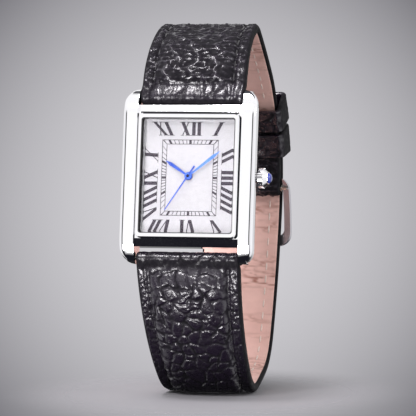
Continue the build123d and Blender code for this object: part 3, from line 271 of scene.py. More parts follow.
def speckled(name, values, colours, scale, rough, depth):
    """A dull material with fine speckles in its two colours, its roughness and its height."""
    made, tree, shader = surface(name, values)
    speckles = noise(tree, place(tree), scale, 4.0)
    set_inputs(tree, shader, {
        "Base Color": ramp(tree, speckles, list(zip((0.35, 0.65), colours))),
        "Roughness": ranged(tree, speckles, (0.0, 1.0), rough),
        "Normal": bumped(tree, speckles, depth, 0.02 * mm),
    })
    return made


dress("gasket_rubber", speckled(
    "black_rubber", {}, ((0.012, 0.012, 0.013), (0.02, 0.02, 0.022)), 3.0, (0.55, 0.75), 0.4
))

# Dial plate
# A brass plate under white lacquer, which is sprayed on and rubbed flat before it is printed.
# Its edge lies under the bezel.
dress("dial_enamel", speckled(
    "white_lacquer", {"Coat Weight": 0.25, "Coat Roughness": 0.3},
    ((0.4, 0.4, 0.41), (0.43, 0.43, 0.44)), 1.2, (0.42, 0.55), 0.08,
))

# Dial print
# Roman numerals, a railway track and minute marks, all pad-printed in black ink on the lacquer.
# The numerals stand with their tops outwards, and lean along the rays towards the corners.
dial_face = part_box("dial")[0].y
ink_rise = 0.02 * mm
print_side = 0.13 * mm
print_drop = -0.3 * mm
numeral_lean = 0.5
thick_stroke = 0.67 * mm
thin_stroke = 0.19 * mm
serif_height = 0.1 * mm
serif_reach = 0.24 * mm
cross_width = 1.85 * mm
vee_width = 1.9 * mm

black_ink = speckled(
    "black_ink", {}, ((0.012, 0.006, 0.016), (0.02, 0.012, 0.026)), 4.0, (0.45, 0.6), 0.15
)


def printed(name, outlines):
    """Raised ink on the dial from convex outlines in its plane, each an x and a z."""
    shape = bmesh.new()
    for outline in outlines:
        front, back = (
            [shape.verts.new((x + print_side, y, z + print_drop)) for x, z in outline]
            for y in (dial_face - ink_rise, dial_face)
        )
        shape.faces.new(front)
        shape.faces.new(reversed(back))
        for index, corner in enumerate(front):
            shape.faces.new((front[index - 1], back[index - 1], back[index], corner))
    bmesh.ops.recalc_face_normals(shape, faces=shape.faces)
    mesh = bpy.data.meshes.new(name)
    shape.to_mesh(mesh)
    shape.free()
    mesh.materials.append(black_ink)
    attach(new_piece(name, mesh), "case")


def stroke(foot, top, width):
    """Outline of a letter's stroke from its foot to its top, as shares of the letter's height."""
    half = width / 2
    return [(foot - half, 0), (foot + half, 0), (top + half, 1), (top - half, 1)]


def serif(middle, width, at_top, height):
    """Outline of a flat serif across a stroke's end."""
    low, high = (1 - serif_height / height, 1) if at_top else (0, serif_height / height)
    near, far = middle - width / 2 - serif_reach, middle + width / 2 + serif_reach
    return [(near, low), (far, low), (far, high), (near, high)]


def letter(sign, left, height):
    """Strokes of one letter that starts at left, and the letter's width."""
    near = left + thick_stroke / 2
    if sign == "I":
        width, strokes = thick_stroke, [(near, near, thick_stroke)]
        serifs = [(near, thick_stroke, False), (near, thick_stroke, True)]
    elif sign == "X":
        width, far = cross_width, left + cross_width - thick_stroke / 2
        strokes = [(far, near, thick_stroke), (near, far, thin_stroke)]
        serifs = [(near, thick_stroke, True), (far, thick_stroke, False)]
        serifs += [(near, thin_stroke, False), (far, thin_stroke, True)]
    else:
        width, far = vee_width, left + vee_width - thin_stroke
        foot = (near + far) / 2 + thin_stroke
        strokes = [(foot - thin_stroke / 2, near, thick_stroke)]
        strokes += [(foot + thin_stroke / 2, far, thin_stroke)]
        serifs = [(near, thick_stroke, True), (far, thin_stroke, True)]
    return [stroke(*each) for each in strokes] + [serif(*each, height) for each in serifs], width


def numeral(name, signs, side, middle, gap):
    """A numeral on one side of the dial, centred at a distance along its reading direction."""
    reading, outward, foot, top = side
    height = top - foot
    outlines = []
    left = 0
    for sign in signs:
        strokes, width = letter(sign, left, height)
        outlines += strokes
        left += width + gap
    lean = math.copysign(numeral_lean, middle) if middle else 0
    along, share = np.moveaxis(np.array(outlines), 2, 0)[..., None]
    sideways = middle + along - (left - gap) / 2 + lean * (share - 0.5) * height
    printed(name, sideways * np.array(reading) + (foot + share * height) * np.array(outward))


row = (8.08 * mm, 10.7 * mm)
column = (6.25 * mm, 8.95 * mm)
top_row = ((1, 0), (0, 1), *row)
right_column = ((0, -1), (1, 0), *column)
bottom_row = ((-1, 0), (0, -1), *row)
left_column = ((0, 1), (-1, 0), *column)
row_place = 5.45 * mm
column_place = 4.35 * mm
long_column_place = 4.95 * mm
letter_gap = 0.38 * mm
wide_gap = letter_gap * 1.5
for settings in (
    ("numeral_twelve", "XII", top_row, 0, letter_gap),
    ("numeral_one", "I", top_row, row_place, letter_gap),
    ("numeral_two", "II", right_column, -column_place, wide_gap),
    ("numeral_three", "III", right_column, 0, letter_gap),
    ("numeral_four", "IIII", right_column, column_place, wide_gap),
    ("numeral_five", "V", bottom_row, -row_place, letter_gap),
    ("numeral_six", "VI", bottom_row, 0, letter_gap),
    ("numeral_seven", "VII", bottom_row, row_place, letter_gap),
    ("numeral_eight", "VIII", left_column, -long_column_place, wide_gap),
    ("numeral_nine", "IX", left_column, 0, letter_gap),
    ("numeral_ten", "X", left_column, column_place, letter_gap),
    ("numeral_eleven", "XI", top_row, -row_place, letter_gap),
):
    numeral(*settings)

track_outer = (5.54 * mm, 7.3 * mm)
track_inner = (4.67 * mm, 6.5 * mm)
track_line = 0.11 * mm
minute_mark = 0.13 * mm
hour_mark = 0.46 * mm


def frame_lines(half_x, half_z, width):
    """Four outlines that make a rectangular line."""
    inner_x, inner_z = half_x - width, half_z - width
    outlines = []
    for side in (-1, 1):
        outlines.append([(-half_x, side * half_z), (half_x, side * half_z),
                         (inner_x, side * inner_z), (-inner_x, side * inner_z)])
        outlines.append([(side * half_x, -half_z), (side * half_x, half_z),
                         (side * inner_x, inner_z), (side * inner_x, -inner_z)])
    return outlines


def ray_end(angle, half_x, half_z):
    """Where a ray from the centre meets a rectangle."""
    x, z = math.sin(angle), math.cos(angle)
    reach = min(half_x / max(abs(x), 1e-9), half_z / max(abs(z), 1e-9))
    return Vector((x * reach, z * reach))


def mark(near, far, sideways):
    """Outline of a mark between two points, half its width to each side."""
    return [near - sideways, near + sideways, far + sideways, far - sideways]


track = frame_lines(*track_outer, track_line) + frame_lines(*track_inner, track_line)
for minute in range(60):
    angle = minute * math.tau / 60
    half = (hour_mark if minute % 5 == 0 else minute_mark) / 2
    near, far = ray_end(angle, *track_inner), ray_end(angle, *track_outer)
    at_side = abs(far.x) > track_outer[0] * 0.999
    track.append(mark(near, far, Vector((0, half)) if at_side else Vector((half, 0))))
for corner in ((-1, -1), (-1, 1), (1, -1), (1, 1)):
    near = Vector((corner[0] * track_inner[0], corner[1] * track_inner[1]))
    far = Vector((corner[0] * track_outer[0], corner[1] * track_outer[1]))
    track.append(mark(near, far, Vector((minute_mark / 2, 0))))
printed("minute_track", track)

# Hands
# Three flat steel hands in blue lacquer, pressed on their pipes. The seconds hand carries a short
# tail, and a dark pin shows in the middle of its hub.
dress("hand_blue", speckled(
    "blue_lacquer", {"Metallic": 0.55, "Coat Weight": 0.6, "Coat Roughness": 0.12},
    ((0.035, 0.09, 0.5), (0.06, 0.14, 0.62)), 0.8, (0.25, 0.35), 0.05,
))
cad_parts["minute_hand"].material_slots[0].material = speckled(
    "bright_blue_lacquer", {"Metallic": 0.3, "Coat Weight": 0.6, "Coat Roughness": 0.12},
    ((0.07, 0.2, 0.8), (0.1, 0.26, 0.92)), 0.8, (0.25, 0.35), 0.05,
)

pin_radius = 0.26 * mm
pin_height = 0.12 * mm
pin_edge = 0.04 * mm
deselect()
bpy.ops.mesh.primitive_cylinder_add(
    vertices=32, radius=pin_radius, depth=pin_height,
    location=(0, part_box("seconds_hand")[0].y, 0), rotation=(math.pi / 2, 0, 0),
)
hub_pin = bpy.context.active_object
hub_pin.name = "hub_pin"
bpy.ops.object.transform_apply(location=True, rotation=True, scale=True)
domed = hub_pin.modifiers.new("rounded", "BEVEL")
domed.width = pin_edge
domed.segments = 3
bpy.ops.object.modifier_apply(modifier="rounded")
bpy.ops.object.shade_smooth_by_angle(angle=math.radians(30))
hub_pin.data.materials.append(
    brushed("dark_pin", (0.05, 0.05, 0.09), (0.2, 0.35), (1.0, 1.0, 1.0), 0.05)
)
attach(hub_pin, "seconds_set")

# Movement
# A quartz calibre on brass plates: steel wheels, a copper coil, a green circuit board and a steel
# battery, in a plastic holder. It is hidden when the watch is closed.
for slot, *metal in (
    ("movement_brass", "plate_brass", (0.82, 0.6, 0.27), (0.2, 0.38), (1.0, 1.0, 4.0), 0.2),
    ("movement_steel", "wheel_steel", (0.7, 0.68, 0.62), (0.15, 0.3), (2.0, 2.0, 2.0), 0.1),
    ("battery_steel", "can_steel", (0.75, 0.75, 0.74), (0.18, 0.3), (0.5, 1.0, 3.0), 0.2),
    ("coil_copper", "copper_wire", (0.78, 0.34, 0.16), (0.2, 0.4), (12.0, 0.4, 0.4), 1.0),
):
    dress(slot, brushed(*metal))
dress("circuit_green", speckled(
    "green_board", {"Coat Weight": 0.4}, ((0.01, 0.12, 0.05), (0.015, 0.17, 0.07)),
    1.5, (0.35, 0.5), 0.3,
))
dress("holder_plastic", speckled(
    "white_plastic", {}, ((0.72, 0.71, 0.68), (0.78, 0.77, 0.74)), 2.0, (0.45, 0.6), 0.2
))

# Crown
# A fluted steel crown on the stem, with a cone outside and a polished blue cabochon glued in it.
# The bottoms of its flutes are painted near black, as painted shade.
crown_low, crown_high = (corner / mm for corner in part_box("crown"))
crown_axis = (crown_low.y + crown_high.y) / 2
crown_radius = (crown_high.z - crown_low.z) / 2
fluted_band = 0.95
flute_bottom = 0.09
flute_top = 0.02
crown_colour = (0.9, 0.895, 0.91)
crown_steel = brushed("crown_steel", crown_colour, (0.05, 0.1), (0.5, 0.5, 0.5), 0.02)
crown_tree = crown_steel.node_tree
crown_place = place(crown_tree)


def mixed(tree, factor, *colours):
    """A colour that goes from the first of two to the second, each plain or a node's output."""
    first, second = ((*colour, 1) if isinstance(colour, tuple) else colour for colour in colours)
    return add_node(tree, "ShaderNodeMix", {0: factor, 6: first, 7: second}, data_type="RGBA")[2]


off_axis = calculated(crown_tree, "VectorMath", "ADD", crown_place, (0, -crown_axis, 0))["Vector"]
across_axis = calculated(crown_tree, "VectorMath", "MULTIPLY", off_axis, (0, 1, 1))["Vector"]
from_axis = calculated(crown_tree, "VectorMath", "LENGTH", across_axis)["Value"]
fluted = (crown_radius - flute_bottom, crown_radius - flute_top)
groove = ranged(crown_tree, from_axis, fluted, (1.0, 0.0))
crown_depth = add_node(crown_tree, "ShaderNodeSeparateXYZ", {0: crown_place})["X"]
on_band = calculated(crown_tree, "Math", "LESS_THAN", crown_depth, crown_low.x + fluted_band)[0]
# Painted shade: the flute bottoms on the fluted band are mixed to near black
painted_flute_shade = calculated(crown_tree, "Math", "MULTIPLY", groove, on_band)[0]
set_inputs(crown_tree, crown_tree.nodes["Principled BSDF"], {
    "Base Color": mixed(crown_tree, painted_flute_shade, crown_colour, (0.02, 0.02, 0.022)),
})
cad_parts["crown"].material_slots[0].material = crown_steel
dress("cabochon_blue", speckled(
    "blue_cabochon", {"Coat Weight": 1.0, "Coat Roughness": 0.03, "IOR": 1.6},
    ((0.01, 0.025, 0.25), (0.02, 0.05, 0.4)), 0.5, (0.05, 0.1), 0.0,
))

# Buckle
# A cast steel frame and its tang, satin from tumbling, with fine scratches. Both turn on the
# spring bar in the end of the upper strap.
buckle_steel = brushed("buckle_steel", (0.6, 0.585, 0.63), (0.24, 0.4), (3.0, 1.0, 0.4), 0.15)
for node in ("buckle_frame", "buckle_tang"):
    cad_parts[node].material_slots[0].material = buckle_steel

# Strap lines
# The strap stands in the round shape of a wrist, each half on its own line of tangent arcs in the
# side view. A line is the glue face between lining and outer leather, and a rise counts outwards.
upper_heading = 88.4
upper_bends = ((15.8 * mm, 63.8), (5.9 * mm, 47.9), (161.0 * mm, 5.0), (26.3 * mm, 58.1))
lower_bends = ((106.8 * mm, 14.2), (12.8 * mm, 45.7), (131.1 * mm, 3.2), (9.3 * mm, 57.1))
stack_rise = 2.3 * mm
tip_turn = 43.5
leave_turn = 7.6


def middle_of(node):
    """Middle of a CAD node's box in the side view."""
    low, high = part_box(node)
    return ((low.y + high.y) / 2, (low.z + high.z) / 2)


def arcs_from(start, heading, bends):
    """Arcs that all bend clockwise, each as centre, radius, first angle and last angle."""
    y, z = start
    arcs = []
    for radius, turn in bends:
        first = heading + 90
        centre_y = y - radius * math.cos(math.radians(first))
        centre_z = z - radius * math.sin(math.radians(first))
        heading -= turn
        last = heading + 90
        arcs.append((centre_y, centre_z, radius, first, last))
        y, z = arc_spot(arcs[-1], last)
    return arcs


def arc_spot(arc, angle):
    """Point of an arc at an angle in degrees."""
    turn = math.radians(angle)
    return (arc[0] + arc[2] * math.cos(turn), arc[1] + arc[2] * math.sin(turn))


def closing_arc(arc, end):
    """Arc that leaves another one's end in its direction and meets a point."""
    start = Vector(arc_spot(arc, arc[4]))
    inward = -Vector((math.cos(math.radians(arc[4])), math.sin(math.radians(arc[4]))))
    run = Vector(end) - start
    radius = run.length_squared / (2 * run.dot(inward))
    centre = start + inward * radius
    last = math.degrees(math.atan2(end[1] - centre.y, end[0] - centre.x))
    while last > arc[4]:
        last -= 360
    return (centre.x, centre.y, radius, arc[4], last)


def arc_lengths(arcs):
    """Length of each arc of a line."""
    return [radius * math.radians(first - last) for _, _, radius, first, last in arcs]


def line_places(arcs, distances):
    """Points of a line and its outward normals at distances along it, past its ends too."""
    lengths = np.array(arc_lengths(arcs))
    ends = np.cumsum(lengths)
    chosen = np.searchsorted(ends[:-1], distances)
    table = np.array(arcs)[chosen]
    turns = np.radians(table[:, 3]) - (distances - (ends - lengths)[chosen]) / table[:, 2]
    outward = np.stack([np.cos(turns), np.sin(turns)], axis=1)
    return table[:, :2] + table[:, 2:3] * outward, outward


upper_lug = middle_of("upper_spring_bar")
lower_lug = middle_of("lower_spring_bar")
upper_line = arcs_from(upper_lug, upper_heading, upper_bends)
upper_length = sum(arc_lengths(upper_line))
keeper_y, keeper_z, keeper_radius, _, keeper_end = upper_line[-1]
buckle_bar = arc_spot(upper_line[-1], keeper_end)
stack_arc = (
    keeper_y, keeper_z, keeper_radius + stack_rise, keeper_end + tip_turn, keeper_end - leave_turn,
)
leave_spot = arc_spot(stack_arc, stack_arc[4])
lower_line = [stack_arc] + arcs_from(leave_spot, stack_arc[4] - 90, lower_bends)
lower_line.append(closing_arc(lower_line[-1], lower_lug))
lower_length = sum(arc_lengths(lower_line))

# Outer leather
# Grained calf leather over a foam pad, cut wider at the lugs than at the buckle. It is folded round
# the bars, glued down, stitched along both edges, and its cut edges are painted black.
lug_half_width = 10.0 * mm
buckle_half_width = 8.0 * mm
lug_swell = 0.13 * mm
swell_reach = 3 * mm
taper = (lug_half_width - buckle_half_width) / (buckle_bar[0] - upper_lug[0])
lining_rise = -0.75 * mm
lining_cover = 0.2 * mm
leather_rise = 1.0 * mm
leather_thickness = 0.8 * mm
upper_ring_radius = 1.8 * mm
lower_ring_radius = 1.2 * mm
ring_bore = 0.82 * mm
ring_turn = math.radians(215)
wrap_radius = 1.5 * mm
roll_blend = 2.4 * mm
flap_length = 13.5 * mm
flap_depth = 0.78 * mm
pad_margin = 1.6 * mm
pad_rise = 1.5 * mm
pad_fade = 9 * mm
edge_strip = 2.3 * mm
edge_round = 0.5 * mm
edge_lift = 0.35
groove_width = 0.36 * mm
groove_depth = 0.34 * mm
full_groove = 1.5 * mm
edge_blend = 0.5 * mm
wrinkle_height = 0.2 * mm
crease_height = 0.17 * mm
grain_height = 0.24 * mm
buckle_press = 0.13 * mm
row_step = 0.19 * mm
top_columns = 100
corner_columns = 4


def smooth(share):
    """A share eased from 0 to 1."""
    share = np.clip(share, 0, 1)
    return share * share * (3 - 2 * share)


def half_width(y):
    """Half the strap's width at a depth behind the lugs, where it swells to fill the gap."""
    depth = y - upper_lug[0]
    return lug_half_width - taper * depth + lug_swell * np.exp(-np.maximum(depth, 0) / swell_reach)


def cells(u, v, seed):
    """Distances to the nearest and next point of a scattered grid, and the nearest one's tone."""
    base_u, base_v = np.floor(u), np.floor(v)
    first = np.full(u.shape, 9.0)
    second = np.full(u.shape, 9.0)
    tone = np.zeros(u.shape)
    for step_u in (-1, 0, 1):
        for step_v in (-1, 0, 1):
            cell_u, cell_v = base_u + step_u, base_v + step_v
            hashed = np.sin(cell_u * 127.1 + cell_v * 311.7 + seed * 74.7) * 43758.5453
            other = np.sin(cell_u * 269.5 + cell_v * 183.3 + seed * 246.1) * 43758.5453
            point_u = cell_u + 0.1 + 0.8 * (hashed - np.floor(hashed))
            point_v = cell_v + 0.1 + 0.8 * (other - np.floor(other))
            distance = np.hypot(u - point_u, v - point_v)
            nearer = distance < first
            second = np.where(nearer, first, np.minimum(second, distance))
            tone = np.where(nearer, (hashed * 7.3) % 1.0, tone)
            first = np.where(nearer, distance, first)
    return first, second, tone


def wander(u, v, seed):
    """A smooth uneven offset for bending the lines between cells."""
    return (
        np.sin(u * 1.7 + v * 0.9 + seed) + np.sin(u * 0.6 - v * 2.1 + seed * 1.7)
        + 0.5 * np.sin(u * 3.9 + v * 3.1 + seed * 2.3)
    ) / 2.5


def grain(along, across, size, seed):
    """Height of the leather's folds and how deep in a fold each point is, from 0 to 1."""
    u, v = along / size[0], across / size[1]
    bent_u = u + 0.34 * wander(u, v, seed) + 0.12 * wander(3.1 * v, 2.7 * u, seed + 2)
    bent_v = v + 0.34 * wander(v, u, seed + 5) + 0.12 * wander(2.9 * u, 3.3 * v, seed + 4)
    first, second, tone = cells(bent_u, bent_v, seed)
    depth = 0.45 + 0.55 * smooth(0.5 + 0.8 * wander(1.3 * u, 1.1 * v, seed + 1))
    fold = (1 - smooth((second - first) / 0.26)) * depth
    small_first, small_second, small_tone = cells(bent_u * 2.1, bent_v * 2.1, seed + 9)
    share = smooth(0.45 + 0.9 * wander(0.9 * v, 1.2 * u, seed + 7))
    small_fold = (1 - smooth((small_second - small_first) / 0.3)) * share
    fine = wander(7.3 * u, 6.1 * v, seed + 3) * wander(5.9 * v, 8.1 * u, seed + 8)
    crown = 1 - np.minimum(first, 1) ** 2
    height = 0.5 * crown + 0.45 * tone + 0.2 * small_tone * share - 1.1 * fold - 0.45 * small_fold
    return height + 0.14 * fine, np.maximum(fold, 0.5 * small_fold)


def wrinkles(along, across, size, seed):
    """Height of thin broken ridges across a strap, and how flat each point between them is."""
    u, v = along / size[0], across / size[1]
    bent_u = u + 0.3 * wander(u, v, seed) + 0.16 * wander(3.3 * v, 2.1 * u, seed + 2)
    bent_v = v + 0.3 * wander(v, u, seed + 5)
    first, second, _ = cells(bent_u, bent_v, seed)
    broken = smooth(0.55 + 1.2 * wander(4.1 * v, 3.3 * u, seed + 1))
    ridge = (1 - smooth((second - first) / 0.2)) * (0.3 + 0.7 * broken)
    small_first, small_second, _ = cells(bent_u * 1.9, bent_v * 2.7, seed + 9)
    small_broken = smooth(0.4 + 1.5 * wander(5.3 * v, 4.7 * u, seed + 6))
    small_ridge = (1 - smooth((small_second - small_first) / 0.24)) * small_broken
    fine = wander(8.3 * u, 12.1 * v, seed + 3) * wander(13.9 * v, 7.1 * u, seed + 8)
    height = 0.9 * ridge + 0.7 * small_ridge + 0.12 * fine
    return height, 0.85 * (1 - np.clip(1.4 * ridge + small_ridge, 0, 1))


def closed_piece(name, points, faces):
    """A smooth closed mesh whose faces point out."""
    mesh = bpy.data.meshes.new(name)
    mesh.from_pydata(points.tolist(), [], faces)
    mesh.update()
    piece = new_piece(name, mesh)
    edit_all(piece, bpy.ops.mesh.normals_make_consistent, inside=False)
    mesh.shade_smooth()
    return piece


def skin_piece(name, across, rises, spots, normals, fold, is_loop=False):
    """A closed skin of rings at rises from spots, with its folds kept for its material to read."""
    rings = np.empty((*across.shape, 3))
    rings[..., 0] = across
    rings[..., 1:] = spots + rises[..., None] * normals
    index = np.arange(across.size).reshape(across.shape)
    steps = np.concatenate([index, index[:1]]) if is_loop else index
    turned = np.roll(steps, -1, axis=1)
    quads = np.stack([steps[:-1], turned[:-1], turned[1:], steps[1:]], axis=-1)
    quads = quads.reshape(-1, 4).tolist()
    if not is_loop:
        quads += [index[0, ::-1].tolist(), index[-1].tolist()]
    piece = closed_piece(name, rings.reshape(-1, 3), quads)
    attribute = piece.data.attributes.new("fold", "FLOAT", "POINT")
    attribute.data.foreach_set("value", fold.astype(np.float32).ravel())
    return piece


def roll(centre, outward, radius, begin, end):
    """Points, normals and distances round a bar, between two turns from the outward side."""
    count = max(int(radius * abs(end - begin) / row_step), 8)
    turns = np.linspace(begin, end, count, endpoint=False)
    forward = np.array([outward[1], -outward[0]])
    normals = np.outer(np.cos(turns), outward) + np.outer(np.sin(turns), forward)
    return np.array(centre) + radius * normals, normals, radius * np.abs(turns)


def leather_skin(name, parts, relief, tip=None):
    """A leather band with padding, rounded edges and a relief, over a contour in the side view.

    Each part of the contour has its points, normals, depth, distances and padding.
    """
    spots, normals = (np.concatenate([part[index] for part in parts]) for index in (0, 1))
    depths, run, pads = (
        np.concatenate([np.broadcast_to(part[index], len(part[0])) for part in parts])[:, None]
        for index in (2, 3, 4)
    )
    half = half_width(spots[:, 0])[:, None]
    if tip is not None:
        half = np.minimum(half, tip(run))
    flat = half - edge_round
    top = flat * np.linspace(-1, 1, top_columns)
    inner = np.maximum(half - edge_strip, 0.1 * mm)
    dome = np.sqrt(np.clip(1 - np.abs(top / inner) ** 3.2, 0, 1))
    groove = np.exp(-(((np.abs(top) - inner) / groove_width) ** 2)) * groove_depth
    turns = np.linspace(0, math.pi / 2, corner_columns + 1)[1:]
    corner = flat + np.sin(turns) * edge_round
    corner_drop = np.broadcast_to((1 - np.cos(turns)) * edge_round, corner.shape)
    corner_lift = np.broadcast_to(edge_lift * (1 - np.sin(turns)), corner.shape)
    under = np.zeros_like(half)
    across = np.concatenate([top, corner, half, -half, -corner[:, ::-1]], axis=1)
    drops = np.concatenate([
        groove * np.clip(depths / full_groove, 0, 1) - pads * dome,
        corner_drop, depths, depths, corner_drop[:, ::-1],
    ], axis=1)
    lifts = np.concatenate([
        np.ones_like(top), corner_lift, under, under, corner_lift[:, ::-1],
    ], axis=1)
    height, fold = relief(np.broadcast_to(run, across.shape), across)
    rises = lifts * height - np.minimum(drops, depths)
    fold = np.where(lifts < 0.9, 1 - lifts, fold)
    return skin_piece(name, across, rises, spots[:, None], normals[:, None], fold)


def pad_profile(distance, begin, fade, end):
    """Height of the padding at distances from the lug bar, from where it begins to its end."""
    return pad_rise * smooth((distance - begin) / fade) * smooth((end - distance) / pad_fade)


def upper_relief(along, across):
    """Wrinkles of the upper strap, with a smooth creased roll where the padding starts."""
    height, flat = wrinkles(along, across, (1.6 * mm, 4.6 * mm), 3)
    on_edge = smooth((np.abs(across) - half_width(upper_lug[0]) + 2.6 * mm) / edge_blend)
    pebbles, _ = grain(along, across, (1.1 * mm, 1.0 * mm), 5)
    height = height * (1 - on_edge) + pebbles * on_edge
    past_roll = smooth((along - 1.7 * mm) / (1.0 * mm))
    creases, crease_folds = grain(along, across, (6.5 * mm, 2.3 * mm), 17)
    on_roll = smooth((along + 2.8 * mm) / (1.5 * mm)) * (1 - past_roll)
    height = wrinkle_height * height * past_roll + crease_height * creases * on_roll
    # Round the lug bar below the roll the leather is made dull and painted darker, as painted shade
    dull_shade_band = 1 - smooth((along + 1.2 * mm) / (0.9 * mm))
    return height, np.maximum(flat * past_roll + 0.7 * crease_folds * on_roll, 0.8 * dull_shade_band)


# Upper strap's contour: up from the glued fold, round the lug bar, along the strap, round the
# buckle bar and back along the flap
run_top = np.arange(0, upper_length, row_step)
spots_top, out_top = line_places(upper_line, run_top)
near_lug = 1 - smooth(run_top / roll_blend)
near_buckle = 1 - smooth((upper_length - run_top) / roll_blend)
layer_depth = leather_rise - lining_rise - lining_cover
ring_depth = upper_ring_radius - ring_bore
wrap_depth = wrap_radius - ring_bore
top_rise = leather_rise + (upper_ring_radius - leather_rise) * near_lug
top_rise = top_rise + (wrap_radius - leather_rise) * near_buckle
top_depth = ring_depth + (layer_depth - ring_depth) * smooth(run_top / roll_blend)
top_depth = top_depth + (wrap_depth - layer_depth) * near_buckle
ring_spots, ring_normals, ring_run = roll(upper_lug, out_top[0], upper_ring_radius, -ring_turn, 0)
end_out = line_places(upper_line, np.array([upper_length]))[1][0]
wrap_spots, wrap_normals, wrap_run = roll(buckle_bar, end_out, wrap_radius, 0, math.pi)
flap_run = np.arange(0, flap_length, row_step)
flap_spots, flap_out = line_places(upper_line, upper_length - flap_run)
flap_spots = flap_spots + (lining_rise - leather_thickness) * flap_out
upper_pad_end = arc_lengths(upper_line)[0] - pad_margin
upper_pads = pad_profile(run_top, 1.4 * mm, 2.4 * mm, upper_pad_end)
upper_leather = leather_skin("upper_leather", (
    (ring_spots, ring_normals, ring_depth, -ring_run, 0),
    (spots_top + top_rise[:, None] * out_top, out_top, top_depth, run_top, upper_pads),
    (wrap_spots, wrap_normals, wrap_depth, upper_length + wrap_run, 0),
    (flap_spots, -flap_out, flap_depth, upper_length + wrap_radius * math.pi + flap_run, 0),
), upper_relief)

# Lower strap's contour: from the tip, over the stacked part, down and round to the lug bar
run_top = np.arange(0, lower_length, row_step)
spots_top, out_top = line_places(lower_line, run_top)
from_lug = lower_length - run_top
past_lug = smooth(from_lug / roll_blend)
ring_depth = lower_ring_radius - ring_bore
top_rise = leather_rise + (lower_ring_radius - leather_rise) * (1 - past_lug)
top_depth = ring_depth + (layer_depth - ring_depth) * past_lug
spots_top = spots_top + top_rise[:, None] * out_top
end_out = line_places(lower_line, np.array([lower_length]))[1][0]
ring_spots, ring_normals, ring_run = roll(lower_lug, end_out, lower_ring_radius, 0, ring_turn)
lower_pad_end = sum(arc_lengths(lower_line)[-2:]) - pad_margin
lower_pads = pad_profile(from_lug, 0.8 * mm, 5.0 * mm, lower_pad_end)
buckle_run = run_top[np.argmin(np.linalg.norm(spots_top - np.array(buckle_bar), axis=1))]
buckle_reach = 12.5 * mm
tip_radius = 6.5 * mm
tip_start = 0.05 * mm
tip_fullness = 1.26


def tip_width(run):
    """Half the strap's width in its rounded tip, and no limit past it."""
    reach = np.clip(run, tip_start, tip_radius)
    round_half = tip_fullness * np.sqrt(tip_radius**2 - (tip_radius - reach) ** 2)
    return np.where(run < tip_radius, round_half, 1)


def lower_relief(along, across):
    """Pebbled grain, finer outside the seams, calm at the bar and pressed flat under the buckle."""
    height, folds = grain(along, across, (2.3 * mm, 2.5 * mm), 11)
    on_edge = smooth((np.abs(across) - lug_half_width + 2.8 * mm) / edge_blend)
    pebbles, pebble_folds = grain(along, across, (1.3 * mm, 1.2 * mm), 13)
    height = height * (1 - on_edge) + 0.6 * pebbles * on_edge
    from_bar = lower_length - along
    calm = 0.25 + 0.75 * smooth((from_bar - 1.5 * mm) / (1.5 * mm))
    flattened = 1 - smooth((np.abs(along - buckle_run) - buckle_reach) / (2 * mm))
    height = grain_height * height * calm * (1 - 0.6 * flattened) - buckle_press * flattened
    # Just short of the lug bar a band is made dull and painted darker, as painted shade
    dull_shade_band = smooth((from_bar + 0.4 * mm) / (0.8 * mm))
    dull_shade_band = dull_shade_band * (1 - smooth((from_bar - 1.1 * mm) / (1.4 * mm)))
    return height, np.maximum(folds * (1 - on_edge) + pebble_folds * on_edge, 0.8 * dull_shade_band)


lower_leather = leather_skin("lower_leather", (
    (spots_top, out_top, top_depth, run_top, lower_pads),
    (ring_spots, ring_normals, ring_depth, lower_length + ring_run, 0),
), lower_relief, tip_width)

# Fine pores and wrinkles of calf leather, as a height
pores, given, results = new_group("leather_pores", ("Scale",), ("Height",))
pits = add_node(pores, "ShaderNodeTexVoronoi", {
    "Vector": given["Vector"], "Scale": given["Scale"],
}, feature="DISTANCE_TO_EDGE")["Distance"]
crinkle = noise(pores, given["Vector"], given["Scale"], 5.0)
set_inputs(pores, results, {
    "Height": calculated(pores, "Math", "MULTIPLY_ADD", pits, 0.7, crinkle)[0],
})

# Black leather whose folds are painted darker, as painted shade, and are duller than its raised,
# polished grain
black_leather, leather_tree, leather_shader = surface("black_leather", {
    "Specular IOR Level": 0.26, "Coat Roughness": 0.2, "Coat IOR": 1.6,
})
leather_place = place(leather_tree)
folded = add_node(leather_tree, "ShaderNodeAttribute", {}, attribute_name="fold")["Fac"]
patches = noise(leather_tree, leather_place, 1.1, 4.0)
dulled = calculated(leather_tree, "Math", "MULTIPLY_ADD", folded, 0.55, patches)[0]
leather_pores = {"Vector": leather_place, "Scale": 2.2}
pored = add_node(leather_tree, "ShaderNodeGroup", leather_pores, node_tree=pores)["Height"]
leather_normal = bumped(leather_tree, pored, 0.7, 0.06 * mm)
set_inputs(leather_tree, leather_shader, {
    "Base Color": mixed(leather_tree, folded, (0.011, 0.007, 0.015), (0.002, 0.0015, 0.003)),
    "Roughness": ranged(leather_tree, dulled, (0.42, 1.05), (0.2, 0.9)),
    "Coat Weight": ranged(leather_tree, dulled, (0.5, 0.8), (1.0, 0.0)),
    "Normal": leather_normal, "Coat Normal": leather_normal,
})
for leather, leather_node, filler_node in (
    (upper_leather, "upper_strap_leather", "upper_strap_filler"),
    (lower_leather, "lower_strap_leather", "lower_strap_filler"),
):
    leather.data.materials.append(black_leather)
    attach(leather, "case")
    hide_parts(leather_node, filler_node)

# Lining
# A thin pink split leather glued to the wrist side inside the painted edges. It creases where the
# strap bends, its creases painted dark brown as painted shade, and the thread of the seams comes
# through it in short pale stitches.
lining_margin = 0.42 * mm
lining_columns = 64
lining_step = 0.3 * mm
lining_crease = 0.07 * mm
lining_thickness = lining_cover * 1.4
wrap_clearance = 2.3 * mm


